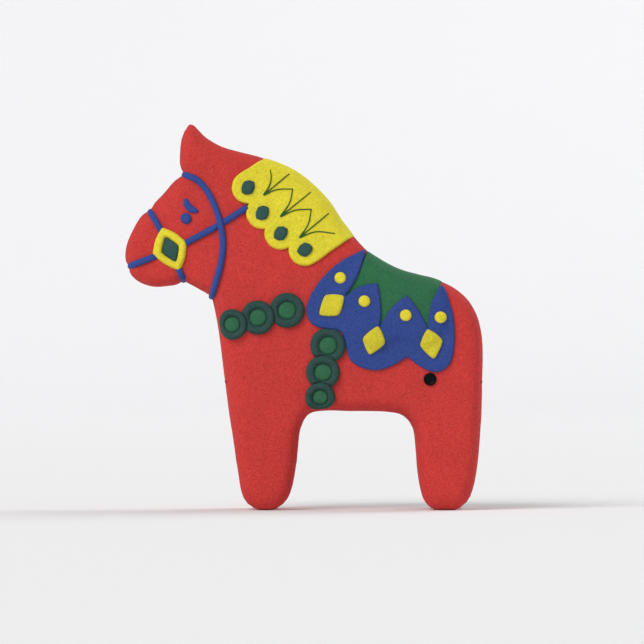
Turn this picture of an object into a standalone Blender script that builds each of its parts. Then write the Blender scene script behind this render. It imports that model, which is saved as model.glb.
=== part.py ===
"""Stitched felt dala horse, 156 mm tall: a stuffed felt body with a draped mane and saddle, a cord bridle,
and felt appliques on both sides.

Frame: metres, +Z up. The origin is on the ground, midway between nose and rump, on the horse's middle plane.
The horse faces -X, and its left side faces -Y. Outlines are drawn in millimetres in the X-Z plane.
"""

import math

import bmesh
import bpy
import numpy as np
from mathutils import Vector
from mathutils.geometry import delaunay_2d_cdt

# Driving dimensions, in millimetres.
MM = 0.001
BODY_HALF = 21.0  # half thickness of the barrel and legs
HEAD_HALF = 13.5  # half thickness of the head
NECK_BOTTOM, NECK_TOP = 76.0, 126.0  # heights between which the neck narrows from body to head
NOSE_TAPER = 2.0  # how much the muzzle narrows on each side
CHEEK_X, NOSE_X = -46.0, -70.0  # where that starts and ends
EAR_TAPER = 3.0  # how much the ears narrow on each side
EAR_BOTTOM = 140.0
EDGE_ROUND = 5.5  # radius of the stuffed edge between side and gusset
FACET = 0.49  # where the facets of that edge meet, as a share of its radius
SKIN = 1.5  # felt of the body
FELT = 1.2  # felt of the appliques
PANEL_EDGE = 0.4  # thickness of a side panel's edge at the seam
GAP = 0.3  # clearance between neighbouring pieces
SOFT_GAP = 0.5  # clearance where facets of two curved faces don't line up
LEG_SLOT_HALF = 5.0  # half the gap between left and right legs
LEG_SLOT_TOP = 36.0
THROUGH = 2.0  # how far a cutter runs through the side it opens
GUSSET_SPLIT = 52.0  # height of the seam between top and underbody gussets
GRID = 9.0  # spacing of the points on the flat of the body
EAR_NOTCH_BOTTOM = 143.0
EAR_NOTCH_HALF, EAR_NOTCH_ROOT = 3.6, 0.6  # half width of the notch between the ears, at their tips and roots
EAR_TIP_HEIGHT = 156.3
CORD_RADIUS = 1.3
THREAD_RADIUS = 0.32
KNOT_RADIUS = 0.5
PAD_LIFT = GAP + FELT + GAP  # where a piece on top of the saddle pad or mane starts

# Heights above the felt that a piece lies on.
RING_SHARES = [0, 0.49, 0.51, 0.78, 1.0]  # centre, edge of the centre, groove, rim, outer edge
RING_HEIGHTS = [1.5, 1.5, 1.1, 2.5, 1.1]
LOZENGE_DOME, LOZENGE_EDGE, LOZENGE_ROUND = 1.9, 0.5, 2.4  # its middle, its edge, and the width of its slope
DOME_EDGE = 0.4  # upright edge of the small round domes
DIAMOND_THICK, DOT_DOME = 1.1, 1.4
EYE_DOME, BROW_THICK, BUTTON_THICK = 1.6, 1.2, 0.9
FRAME_THICK, FRAME_CENTRE = 4.4, 3.9
CENTRE_FIT = 0.91  # size of a rosette's centre in proportion to its hole
GROOVE_EXTRA = 0.25  # how much wider the groove under a rosette is than the cord and its clearance

# Body silhouette, from the ear tip down the face, round the legs and back along the crest.
# A third value of 0 marks a corner; the other points are joined by a smooth curve.
# The tight cords press a notch into it at the poll, nose, mouth, chin and throat.
BODY = [
    (-45.8, 156.3), (-49.0, 152.4), (-50.2, 146.0),
    (-49.9, 138.6, 0), (-48.4, 136.0, 0), (-51.4, 134.2, 0),  # poll
    (-61.3, 123.3, 0), (-62.0, 121.5, 0), (-64.3, 120.5, 0),  # nose
    (-69.3, 113.6), (-72.4, 105.3),
    (-72.3, 100.2, 0), (-70.6, 98.6, 0), (-71.1, 96.6, 0),  # mouth
    (-68.0, 93.1), (-61.6, 90.6),
    (-51.8, 91.2, 0), (-49.3, 93.2, 0), (-46.2, 91.5, 0),  # chin
    (-39.7, 88.0, 0), (-37.4, 86.6, 0), (-36.6, 83.2, 0),  # throat
    (-34.8, 74.1), (-31.6, 48.6), (-27.5, 19.4), (-24.4, 4.6), (-18.2, 0.0),
    (-12.8, 0.0), (-6.6, 4.5), (-3.3, 16.0), (-1.2, 33.0), (2.5, 39.2), (19.0, 40.0),
    (39.0, 38.8), (44.0, 33.3), (46.2, 13.8), (49.0, 3.2), (53.5, 0.0), (61.2, 0.0),
    (67.6, 5.8), (71.0, 23.0), (72.3, 52.6), (71.9, 72.0), (67.5, 83.7), (58.0, 91.5),
    (39.5, 96.7), (27.9, 102.9), (22.1, 108.8), (16.4, 114.8), (10.9, 123.6), (-1.7, 135.7), (-15.6, 142.2),
    (-24.0, 144.5), (-32.8, 146.8), (-40.5, 151.3),
]

# Mane: a scallop round each lozenge, drawn from the crest behind the ears to the withers.
LOZENGES = [((-22.6, 130.5), 0), ((-16.8, 120.2), 0), ((-9.4, 111.9), -8), ((0.4, 105.3), -28)]
SCALLOP_RADIUS = 6.6
MANE_FRONT, MANE_BACK = (-15.3, 142.8), (20.0, 111.0)
MANE_OVERHANG = [(24.0, 118.0), (5.0, 140.0), (-10.0, 150.0)]  # cutter corners outside the crest
LOZENGE_CORNERS = [(-1.9, 2.9), (3.0, 2.6), (1.9, -2.9), (-3.0, -2.6)]

# Embroidery on the mane: strokes of thread that meet in knots.
STITCH_KNOTS = [(-16.4, 127.4), (-4.6, 129.9), (-9.6, 118.7), (2.9, 121.7), (-1.9, 110.2)]
STITCHES = [
    [(-16.4, 127.4), (-14.0, 131.4), (-13.3, 134.6), (-13.7, 137.7)],
    [(-16.4, 127.4), (-6.0, 136.1)],
    [(-16.4, 127.4), (-11.2, 129.6), (-4.6, 129.9)],
    [(-4.6, 129.9), (-5.7, 124.8), (-9.6, 118.7)],
    [(-9.6, 118.7), (2.7, 128.7)],
    [(-9.6, 118.7), (-3.6, 121.3), (2.9, 121.7)],
    [(2.9, 121.7), (1.7, 115.8), (-1.9, 110.2)],
    [(-1.9, 110.2), (10.0, 120.1)],
    [(-1.9, 110.2), (4.2, 112.5), (12.5, 111.9)],
]

# Saddle skirt: four leaf-shaped petals that join at the bottom, drawn down the front and back along the top.
SKIRT = [
    (25.1, 105.4, 0), (16.4, 101.5), (7.9, 94.4), (2.6, 86.6), (0.9, 80.0), (3.6, 75.0), (9.0, 73.3),
    (15.0, 72.0), (16.9, 66.0), (19.4, 60.0), (27.9, 56.6), (36.0, 58.5), (41.8, 62.0, 0), (48.5, 57.2),
    (54.0, 55.9), (58.8, 59.0), (60.8, 68.0), (60.0, 80.0), (55.9, 91.6, 0), (52.9, 87.0),
    (50.8, 81.0), (50.1, 73.6, 0), (46.9, 80.0), (41.7, 87.0, 0), (35.6, 82.0), (30.6, 74.1, 0),
    (31.2, 82.0), (29.8, 91.7, 0), (23.2, 90.6), (16.7, 86.6, 0), (21.0, 93.2), (23.9, 101.0),
]
# Saddle pad: its lower edge is hidden under the skirt, and it folds over the back.
PAD_EDGE = [
    (25.6, 105.2, 0), (21.6, 96.0), (13.6, 86.2), (18.5, 77.5), (29.0, 68.5), (40.0, 71.5), (50.0, 68.5),
    (54.8, 76.0), (55.3, 91.5, 0),
]
PAD_OVERHANG = [(61.0, 103.0), (31.0, 116.0)]
PAD_FALL = 5.0  # how far the skirt takes to come down from the pad to the body

DIAMONDS = [
    [(8.4, 87.3), (16.6, 86.9), (14.3, 78.5), (5.8, 78.7)],
    [(30.1, 75.0), (23.4, 69.7), (26.3, 62.3), (33.2, 67.7)],
    [(49.8, 73.8), (56.4, 68.9), (52.6, 60.6), (46.5, 66.6)],
]
DOTS = [(14.7, 93.9), (24.4, 84.5), (41.1, 78.8), (55.1, 78.0)]
DOT_RADIUS = 2.35

# Rings: centre, radius, and the ring that lies over this one. The skirt lies over the top of the girth.
RINGS = {
    "breast_ring_1": ((-29.0, 75.1), 6.2, None),
    "breast_ring_2": ((-18.6, 77.9), 6.9, "breast_ring_1"),
    "breast_ring_3": ((-6.8, 80.8), 7.1, "breast_ring_2"),
    "girth_ring_1": ((9.7, 66.6), 7.2, "girth_ring_2"),
    "girth_ring_2": ((7.7, 55.8), 6.9, "girth_ring_3"),
    "girth_ring_3": ((6.6, 45.7), 6.1, None),
}
UNDER_SKIRT = "girth_ring_1"

# Bridle, in the X-Z plane. The loops run off the silhouette at both ends and cross to the other side.
THROAT_LASH = [(-49.0, 136.0), (-42.2, 133.0), (-36.2, 123.4), (-32.9, 111.0), (-33.4, 100.6), (-37.8, 85.0)]
NOSEBAND = [(-62.7, 121.4), (-58.4, 114.2), (-54.3, 105.3), (-50.3, 97.0), (-48.4, 91.8)]
MOUTH_STRAP = [(-71.4, 98.4), (-60.9, 102.4)]
REIN = [(-46.9, 108.5), (-33.7, 115.7), (-24.3, 121.7)]
REIN_CROSSING = 1  # index of the point where the throat lash passes over the rein
RUN_OUT = 4.0  # how far the drawn paths are carried on before they are cut off at the silhouette
CORD_STEP, CORD_STEP_AT_EDGE = 3.4, 1.2  # spacing of a cord's cross-sections
ROSETTE_OUTER = [(-57.5, 114.9), (-47.0, 108.4), (-49.9, 96.2), (-61.6, 103.2)]
ROSETTE_INNER = [(-56.0, 110.7), (-50.4, 106.8), (-51.6, 100.1), (-57.6, 104.0)]
EYE, EYE_RADIUS = (-47.7, 118.0), 2.25
BROW = [(-47.9, 126.1), (-47.2, 123.5), (-45.4, 121.7), (-42.8, 120.8)]
BROW_HALVES = [0.9, 1.45, 1.45, 0.85]  # half widths at those points
HIP_BUTTON, HIP_RADIUS = (50.9, 53.0), 2.6

COLOURS = {
    "red_felt": (0.56, 0.045, 0.04),
    "yellow_felt": (0.68, 0.58, 0.03),
    "blue_felt": (0.03, 0.07, 0.27),
    "green_felt": (0.025, 0.14, 0.06),
    "teal_felt": (0.03, 0.10, 0.08),
    "blue_cord": (0.035, 0.08, 0.30),
    "green_thread": (0.04, 0.13, 0.05),
    "black_button": (0.012, 0.012, 0.012),
    "stuffing": (0.75, 0.73, 0.68),
}


# ---- Outlines -------------------------------------------------------------------------------------------


def spline(points, closed, steps=12):
    """A Catmull-Rom curve through the points, straight into and out of each corner."""
    count = len(points)
    curve = []
    for i in range(count if closed else count - 1):
        p1, p2 = np.array(points[i][:2]), np.array(points[(i + 1) % count][:2])
        before, after = points[i - 1], points[(i + 2) % count]
        at_start = len(points[i]) > 2 or (not closed and i == 0)
        at_end = len(points[(i + 1) % count]) > 2 or (not closed and i == count - 2)
        p0 = p1 if at_start else np.array(before[:2])
        p3 = p2 if at_end else np.array(after[:2])
        chord = np.linalg.norm(p2 - p1)
        leave = (p2 - p0) / max(np.linalg.norm(p2 - p1) + np.linalg.norm(p1 - p0), 1e-9) * chord
        arrive = (p3 - p1) / max(np.linalg.norm(p3 - p2) + np.linalg.norm(p2 - p1), 1e-9) * chord
        for step in range(steps):
            t = step / steps
            curve.append(
                (2 * t**3 - 3 * t**2 + 1) * p1
                + (t**3 - 2 * t**2 + t) * leave
                + (3 * t**2 - 2 * t**3) * p2
                + (t**3 - t**2) * arrive
            )
    if not closed:
        curve.append(np.array(points[-1][:2]))
    return np.array(curve)


def thin_out(curve, turn_deg, longest):
    """Keeps a point of a closed curve where it has turned by turn_deg or run on by longest since the last."""
    kept = [curve[0]]
    turned = 0.0
    for i in range(1, len(curve)):
        incoming = curve[i] - curve[i - 1]
        outgoing = curve[(i + 1) % len(curve)] - curve[i]
        cross = incoming[0] * outgoing[1] - incoming[1] * outgoing[0]
        turned += abs(math.degrees(math.atan2(cross, incoming @ outgoing)))
        if turned > turn_deg or np.linalg.norm(curve[i] - kept[-1]) > longest:
            kept.append(curve[i])
            turned = 0.0
    return np.array(kept)


def arc(centre, radius, start, end, count):
    angles = np.linspace(start, end, count)
    return np.array(centre) + radius * np.stack([np.cos(angles), np.sin(angles)], axis=1)


def circle(centre, radius, count):
    return arc(centre, radius, 0, 2 * math.pi, count + 1)[:-1]


def rounded(corners, radius, bulge=0.0, steps=3):
    """A polygon with rounded corners, and sides that bow out by bulge."""
    corners = np.array(corners, float)
    centre = corners.mean(axis=0)
    points = []
    for i, corner in enumerate(corners):
        before = corners[i - 1]
        after = corners[(i + 1) % len(corners)]
        start = corner + (before - corner) / np.linalg.norm(before - corner) * radius
        end = corner + (after - corner) / np.linalg.norm(after - corner) * radius
        for step in range(steps + 1):
            t = step / steps
            points.append((1 - t) ** 2 * start + 2 * t * (1 - t) * corner + t**2 * end)
        middle = (corner + after) / 2
        points.append(middle + (middle - centre) / np.linalg.norm(middle - centre) * bulge)
    return np.array(points)


def signed_area(loop):
    x, z = loop[:, 0], loop[:, 1]
    return 0.5 * float(np.sum(x * np.roll(z, -1) - np.roll(x, -1) * z))


def counter_clockwise(loop):
    return loop if signed_area(loop) > 0 else loop[::-1]


def distance_inside(points, loop):
    """Distance of each point from a closed outline: positive inside, negative outside."""
    points = np.atleast_2d(points)
    start, end = loop, np.roll(loop, -1, axis=0)
    along = end - start
    to_point = points[:, None, :] - start[None]
    share = np.clip((to_point * along).sum(-1) / (along**2).sum(-1), 0, 1)
    nearest = np.linalg.norm(to_point - share[..., None] * along, axis=-1).min(axis=1)
    crosses = (start[:, 1] > points[:, 1:2]) != (end[:, 1] > points[:, 1:2])
    rise = np.where(end[:, 1] == start[:, 1], 1e-12, end[:, 1] - start[:, 1])
    at_x = start[:, 0] + (points[:, 1:2] - start[:, 1]) / rise * along[:, 0]
    inside = (crosses & (points[:, 0:1] < at_x)).sum(axis=1) % 2 == 1
    return np.where(inside, nearest, -nearest)


def offset(loop, inward):
    """The outline moved inwards, or outwards if negative, without the points that would cross over."""
    ahead = np.roll(loop, -1, axis=0) - loop
    behind = loop - np.roll(loop, 1, axis=0)
    ahead /= np.linalg.norm(ahead, axis=1)[:, None]
    behind /= np.linalg.norm(behind, axis=1)[:, None]
    tangent = ahead + behind
    tangent /= np.linalg.norm(tangent, axis=1)[:, None]
    stretch = 1 / np.clip((tangent * ahead).sum(axis=1), 0.6, 1)
    normal = np.stack([-tangent[:, 1], tangent[:, 0]], axis=1) * stretch[:, None]
    moved = loop + normal * inward
    clear = np.abs(distance_inside(moved, loop)) > 0.93 * abs(inward)
    return moved[clear]


def mane_edge():
    """The scalloped edge of the mane: an arc round each lozenge, from the crest to the withers."""
    centres = [np.array(centre) for centre, _ in LOZENGES]
    first = tangent_angle(np.array(MANE_FRONT), centres[0], -1)
    last = tangent_angle(np.array(MANE_BACK), centres[-1], 1)
    edge = [np.array(MANE_FRONT)]
    for i, centre in enumerate(centres):
        begin, end = first, last
        if i > 0:
            begin = cusp_angle(centre, centres[i - 1], -1)
        if i < len(centres) - 1:
            end = cusp_angle(centre, centres[i + 1], 1)
        while end < begin:
            end += 2 * math.pi
        steps = max(4, round(math.degrees(end - begin) / 20))
        for step in range(steps + 1):
            angle = begin + (end - begin) * step / steps
            edge.append(centre + SCALLOP_RADIUS * np.array([math.cos(angle), math.sin(angle)]))
    edge.append(np.array(MANE_BACK))
    return edge


def tangent_angle(point, centre, side):
    """Where on a scallop the straight edge from point touches it."""
    away = point - centre
    reach = math.acos(SCALLOP_RADIUS / np.linalg.norm(away))
    return math.atan2(away[1], away[0]) - side * reach


def cusp_angle(centre, neighbour, side):
    """Where a scallop meets the next one, on the outer side of the chain."""
    towards = neighbour - centre
    spread = math.acos(np.linalg.norm(towards) / 2 / (SCALLOP_RADIUS + 0.05))
    return math.atan2(towards[1], towards[0]) - side * spread


def without_doubles(points, closest=0.2):
    kept = []
    for point in points:
        if all(np.linalg.norm(point - other) > closest for other in kept):
            kept.append(point)
    return np.array(kept)


# ---- The stuffed body as a surface ----------------------------------------------------------------------


def smoothstep(low, high, value):
    t = np.clip((value - low) / (high - low), 0, 1)
    return t * t * (3 - 2 * t)


OUTLINE = thin_out(np.maximum(spline(BODY, True), [-1e9, 0.0]), 15, 8.0)
PAD_OUTLINE = counter_clockwise(np.vstack([spline(PAD_EDGE, False, 4), PAD_OVERHANG]))


def half_thickness(points):
    """Half the horse's thickness, before its edges round off."""
    x, z = points[:, 0], points[:, 1]
    half = BODY_HALF - (BODY_HALF - HEAD_HALF) * smoothstep(NECK_BOTTOM, NECK_TOP, z)
    half = half - NOSE_TAPER * smoothstep(CHEEK_X, NOSE_X, x) * smoothstep(80, 95, z)
    return half - EAR_TAPER * smoothstep(EAR_BOTTOM, EAR_TIP_HEIGHT, z)


def surface(points, lift=0.0):
    """How far from the middle plane the body's side is, lift above its felt."""
    points = np.atleast_2d(points)
    radius = EDGE_ROUND + lift
    share = 1 - np.clip((distance_inside(points, OUTLINE) + lift) / radius, 0, 1)
    return seam_depth(points) + radius * np.sqrt(1 - share**2)


def seam_depth(points):
    """How far from the middle plane the seam between side panel and gusset is."""
    return half_thickness(points) - EDGE_ROUND


def on_pad(points):
    """How far the saddle skirt is lifted by the pad beneath it."""
    inside = distance_inside(points, PAD_OUTLINE)
    return (FELT + 1.5 * GAP) * smoothstep(-PAD_FALL, -0.5, inside)


# ---- Meshes ---------------------------------------------------------------------------------------------


def triangulate(loop, inner):
    """Triangles of the area inside an outline, with extra points inside it."""
    count = len(loop)
    points = [Vector(p) for p in loop] + [Vector(p) for p in inner]
    edges = [(i, (i + 1) % count) for i in range(count)]
    found = delaunay_2d_cdt(points, edges, [], 1, 1e-5)
    return np.array([(v.x, v.y) for v in found[0]]), [list(f) for f in found[2]], count


def grid_inside(loop, spacing, margin, limit=None):
    """Points of a triangular grid inside an outline, margin or more from it."""
    low, high = loop.min(axis=0), loop.max(axis=0)
    rows = int((high[1] - low[1]) / (spacing * 0.866)) + 1
    columns = int((high[0] - low[0]) / spacing) + 1
    grid = np.array(
        [
            (low[0] + (c + 0.5 * (r % 2)) * spacing, low[1] + r * spacing * 0.866)
            for r in range(rows + 1)
            for c in range(columns + 1)
        ]
    )
    grid = grid[distance_inside(grid, loop) > margin]
    return grid if limit is None else grid[distance_inside(grid, OUTLINE) < limit]


def mesh_object(name, vertices, faces, slot, anchor=(0, 0, 0)):
    """A named object from points in millimetres, with its origin at anchor."""
    anchor = Vector(anchor) * MM
    mesh = bpy.data.meshes.new(name)
    mesh.from_pydata([Vector(v) * MM - anchor for v in vertices], [], faces)
    tidy = bmesh.new()
    tidy.from_mesh(mesh)
    bmesh.ops.recalc_face_normals(tidy, faces=tidy.faces)
    tidy.to_mesh(mesh)
    tidy.free()
    mesh.shade_smooth()
    mesh.set_sharp_from_angle(angle=math.radians(35))
    mesh.materials.append(MATERIALS[slot])
    made = bpy.data.objects.new(name, mesh)
    made.location = anchor
    made.parent = HORSE
    bpy.context.scene.collection.objects.link(made)
    return made


def plate(name, loop, inner, low, high, slot, side=-1):
    """A closed slab over an outline, from distance low(points) to high(points) from the middle plane."""
    points, faces, rim = triangulate(counter_clockwise(loop), inner)
    bottom, top = low(points), high(points)
    count = len(points)
    vertices = [(p[0], side * y, p[1]) for p, y in zip(points, bottom)]
    vertices += [(p[0], side * y, p[1]) for p, y in zip(points, top)]
    solid = [face[::-1] for face in faces] + [[i + count for i in face] for face in faces]
    solid += [[i, (i + 1) % rim, (i + 1) % rim + count, i + count] for i in range(rim)]
    middle = points[:rim].mean(axis=0)
    anchor = (middle[0], side * float(surface(middle)[0]), middle[1])
    return mesh_object(name, vertices, solid, slot, anchor)


def applique(name, loop, inner, base, top, slot):
    """The left piece and its mirror image on the right, lying base to top above the body's felt."""

    def low(points):
        return surface_at(points, base)

    def high(points):
        return surface_at(points, top)

    plates = []
    for word, side in (("left", -1), ("right", 1)):
        plates.append(plate(f"{word}_{name}", loop, inner, low, high, slot, side))
    return plates


def surface_at(points, lift):
    """surface() for a lift that is a number or a function of the points."""
    if not callable(lift):
        return surface(points, lift)
    return np.array([surface(p, h)[0] for p, h in zip(points, lift(points))])


def grown_body(name, grow, slot="red_felt"):
    """The whole horse with its edges rounded, as a closed solid grown by grow."""
    loop = offset(OUTLINE, -grow)
    radius = EDGE_ROUND + grow
    rounding = [offset(loop, FACET * EDGE_ROUND + grow), offset(loop, radius)]
    inner = np.vstack([*rounding, grid_inside(loop, GRID, radius + 3)])
    points, faces, rim = triangulate(loop, without_doubles(inner, 0.8))
    depth = surface(points, grow)
    depth[:rim] = seam_depth(points[:rim])
    return mirrored_solid(name, points, faces, rim, depth, slot)


def flat_sided_body(name, grow, beyond):
    """The horse's outline grown by grow, as a solid that ends a distance beyond the seam on each side."""
    loop = offset(OUTLINE, -grow) if grow else OUTLINE
    points, faces, rim = triangulate(loop, without_doubles(grid_inside(loop, GRID, 5.0), 0.8))
    return mirrored_solid(name, points, faces, rim, seam_depth(points) + beyond, "red_felt")


def mirrored_solid(name, points, faces, rim, depth, slot):
    """A closed solid whose two mirrored sides are one sheet of faces, at a depth for each point."""
    count = len(points)
    vertices = [(p[0], -y, p[1]) for p, y in zip(points, depth)]
    vertices += [(p[0], y, p[1]) for p, y in zip(points, depth)]
    solid = faces + [[i + count for i in face[::-1]] for face in faces]
    solid += [[i + count, (i + 1) % rim + count, (i + 1) % rim, i] for i in range(rim)]
    return mesh_object(name, vertices, solid, slot)


def prism(name, loop, y_low, y_high):
    """A straight prism across the horse."""
    count = len(loop)
    vertices = [(p[0], y_low, p[1]) for p in loop] + [(p[0], y_high, p[1]) for p in loop]
    faces = [list(range(count)), list(range(2 * count - 1, count - 1, -1))]
    faces += [[i, (i + 1) % count, (i + 1) % count + count, i + count] for i in range(count)]
    return mesh_object(name, vertices, faces, "red_felt")


def lengthwise_prism(name, section, x_low, x_high):
    """A straight prism along the horse, from a section in the Y-Z plane."""
    count = len(section)
    vertices = [(x_low, y, z) for y, z in section] + [(x_high, y, z) for y, z in section]
    faces = [list(range(count)), list(range(2 * count - 1, count - 1, -1))]
    faces += [[i, (i + 1) % count, (i + 1) % count + count, i + count] for i in range(count)]
    return mesh_object(name, vertices, faces, "red_felt")


def combine(target, tool, operation):
    """Applies a Boolean of tool to target, and removes tool."""
    modifier = target.modifiers.new(operation.lower(), "BOOLEAN")
    modifier.operation = operation
    modifier.solver = "EXACT"
    modifier.object = tool
    graph = bpy.context.evaluated_depsgraph_get()
    result = bpy.data.meshes.new_from_object(target.evaluated_get(graph))
    target.modifiers.clear()
    target.data = result
    bpy.data.objects.remove(tool)
    return target


def leg_slot(grow):
    """Cutter for the gap between left and right legs, with a rounded top."""
    half, top = LEG_SLOT_HALF + grow, LEG_SLOT_TOP + grow
    arch = [(half * math.cos(a), top - half + half * math.sin(a)) for a in np.linspace(0, math.pi, 7)]
    return lengthwise_prism("leg_slot", [(half, -5.0), *arch, (-half, -5.0)], -90, 90)


def ear_notch(grow):
    """Cutter for the V-shaped notch between the two ears."""
    low, high, above = EAR_NOTCH_BOTTOM - grow, EAR_TIP_HEIGHT, EAR_TIP_HEIGHT + 9
    narrow, wide = EAR_NOTCH_ROOT + grow, EAR_NOTCH_HALF + grow
    section = [(-narrow, low), (narrow, low), (wide, high), (wide, above), (-wide, above), (-wide, high)]
    return lengthwise_prism("ear_notch", section, -60 - grow, -28 + grow)


def with_openings(solid, grow):
    """Cuts the leg gap and the ear notch from a body solid."""
    combine(solid, leg_slot(grow), "DIFFERENCE")
    return combine(solid, ear_notch(grow), "DIFFERENCE")


# ---- Body -----------------------------------------------------------------------------------------------


def side_panels():
    """One dished felt panel for each side, from the seam at its rim to the flat of the side."""
    inner = [offset(OUTLINE, share * EDGE_ROUND) for share in (FACET, 1.0)]
    inner.append(grid_inside(OUTLINE, 12.0, EDGE_ROUND + 4))
    inner = without_doubles(np.vstack(inner), 0.8)

    def inside_face(points):
        return surface(points, -SKIN)

    def outside_face(points):
        return np.maximum(surface(points), seam_depth(points) + PANEL_EDGE)

    for word, side in (("left", -1), ("right", 1)):
        plate(f"{word}_side_panel", OUTLINE, inner, inside_face, outside_face, "red_felt", side)


def gussets():
    """The band of felt between the side panels, with the inner sides of the legs and ears."""
    band = with_openings(flat_sided_body("top_gusset", 0, -GAP), 0)
    hollow = with_openings(flat_sided_body("hollow", -SKIN, THROUGH), SKIN)
    combine(band, hollow, "DIFFERENCE")
    under = mesh_object("underbody_gusset", [], [], "red_felt")
    under.data = band.data.copy()
    middle = GAP / 2
    box = [(-90, -10), (90, -10), (90, GUSSET_SPLIT - middle), (-90, GUSSET_SPLIT - middle)]
    combine(under, prism("below", np.array(box), -40, 40), "INTERSECT")
    box = [(-90, GUSSET_SPLIT + middle), (90, GUSSET_SPLIT + middle), (90, 170), (-90, 170)]
    combine(band, prism("above", np.array(box), -40, 40), "INTERSECT")


def stuffing():
    """The filling, one firm body with four legs, just inside the felt."""
    filling = grown_body("stuffing", -SKIN - SOFT_GAP, "stuffing")
    with_openings(filling, SKIN + SOFT_GAP)


def draped(name, loop, slot):
    """A felt sheet folded over the top of the horse, cut to one outline on both sides."""
    sheet = grown_body(name, GAP + FELT, slot)
    combine(sheet, grown_body("inside", GAP), "DIFFERENCE")
    return combine(sheet, prism("outline", loop, -40, 40), "INTERSECT")


# ---- Mane -----------------------------------------------------------------------------------------------


def mane():
    loop = counter_clockwise(np.vstack([mane_edge(), MANE_OVERHANG]))
    draped("mane", without_doubles(loop), "yellow_felt")


def mane_lozenges():
    """Domed green lozenges, one in each scallop."""
    for number, (centre, turn) in enumerate(LOZENGES, 1):
        angle = math.radians(turn)
        spin = np.array([[math.cos(angle), math.sin(angle)], [-math.sin(angle), math.cos(angle)]])
        corners = np.array(LOZENGE_CORNERS) @ spin + centre
        outer = rounded(corners, 1.6, 0.2, 2)
        ring = rounded((corners - centre) * 0.62 + centre, 1.0, 0.1, 2)

        def dome(points, outer=outer):
            slope = 1 - np.clip(distance_inside(points, outer) / LOZENGE_ROUND, 0, 1)
            return PAD_LIFT + LOZENGE_EDGE + (LOZENGE_DOME - LOZENGE_EDGE) * np.sqrt(1 - slope**2)

        inner = np.vstack([ring, [centre]])
        applique(f"mane_lozenge_{number}", outer, inner, PAD_LIFT, dome, "teal_felt")


def tube(name, path, radius, slot, closed=False, sides=6):
    """A round cord along a path of points, with flat ends."""
    path = [Vector(p) for p in path]
    count = len(path)
    vertices, faces = [], []
    for i, point in enumerate(path):
        ahead = path[(i + 1) % count] if closed or i < count - 1 else point
        behind = path[i - 1] if closed or i > 0 else point
        along = (ahead - behind).normalized()
        across = along.cross(Vector((0, 1, 0)))
        if across.length < 0.3:
            across = along.cross(Vector((1, 0, 0)).cross(Vector((0, 1, 0))))
        across.normalize()
        up = across.cross(along)
        for s in range(sides):
            angle = 2 * math.pi * (s + 0.5) / sides
            vertices.append(point + radius * (math.cos(angle) * across + math.sin(angle) * up))
    for i in range(count if closed else count - 1):
        a, b = i * sides, (i + 1) % count * sides
        faces += [[a + s, a + (s + 1) % sides, b + (s + 1) % sides, b + s] for s in range(sides)]
    if not closed:
        faces += [list(range(sides))[::-1], [(count - 1) * sides + s for s in range(sides)]]
    return mesh_object(name, vertices, faces, slot)


def ball(name, centre):
    """A knot of the embroidery thread."""
    shape = bmesh.new()
    bmesh.ops.create_uvsphere(shape, u_segments=6, v_segments=4, radius=KNOT_RADIUS)
    vertices = [v.co + Vector(centre) for v in shape.verts]
    faces = [[v.index for v in f.verts] for f in shape.faces]
    shape.free()
    return mesh_object(name, vertices, faces, "green_thread")


def mane_stitching():
    """Embroidered strokes on the mane, knotted into one piece of thread on each side."""
    lift = PAD_LIFT + KNOT_RADIUS
    for word, side in (("left", -1), ("right", 1)):
        knots = [ball("knot", over_surface(np.array([knot]), side, lift)[0]) for knot in STITCH_KNOTS]
        thread = knots.pop(0)
        thread.name = f"{word}_mane_stitching"
        for stitch in STITCHES:
            path = over_surface(spline(stitch, False, 1 if len(stitch) > 2 else 2), side, lift)
            stroke = tube("stroke", path, THREAD_RADIUS, "green_thread", sides=4)
            combine(thread, stroke, "UNION")
        for knot in knots:
            combine(thread, knot, "UNION")


# ---- Saddle ---------------------------------------------------------------------------------------------


def skirt_outline():
    return counter_clockwise(thin_out(spline(SKIRT, True, 6), 16, 4.5))


def saddle():
    draped("saddle_pad", PAD_OUTLINE, "green_felt")
    skirt = skirt_outline()
    near_edge = grid_inside(skirt, 2.6, 1.0, EDGE_ROUND + 1)
    inner = without_doubles(np.vstack([near_edge, grid_inside(skirt, 5.0, 1.6)]), 1.8)

    def skirt_base(points):
        return GAP + on_pad(points)

    def skirt_top(points):
        return skirt_base(points) + FELT

    def trim_base(points):
        return skirt_top(points) + 2 * GAP

    def diamond_top(points):
        return trim_base(points) + DIAMOND_THICK

    applique("saddle_skirt", skirt, inner, skirt_base, skirt_top, "blue_felt")
    for number, corners in enumerate(DIAMONDS, 1):
        outer = rounded(corners, 1.9, 0.15)
        middle = np.array([np.mean(corners, axis=0)])
        applique(f"saddle_diamond_{number}", outer, middle, trim_base, diamond_top, "yellow_felt")
    for number, centre in enumerate(DOTS, 1):

        def dot_top(points, centre=centre):
            return trim_base(points) + dome_height(points, centre, DOT_RADIUS, DOT_DOME)

        outer = circle(centre, DOT_RADIUS, 12)
        ring = np.vstack([circle(centre, DOT_RADIUS * 0.6, 10), [centre]])
        applique(f"saddle_dot_{number}", outer, ring, trim_base, dot_top, "yellow_felt")


def dome_height(points, centre, radius, height):
    """A shallow dome with a short upright edge."""
    share = np.clip(np.linalg.norm(points - np.array(centre), axis=1) / radius, 0, 1)
    return DOME_EDGE + (height - DOME_EDGE) * np.sqrt(1 - share**2)


# ---- Breast collar and girth ----------------------------------------------------------------------------


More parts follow.
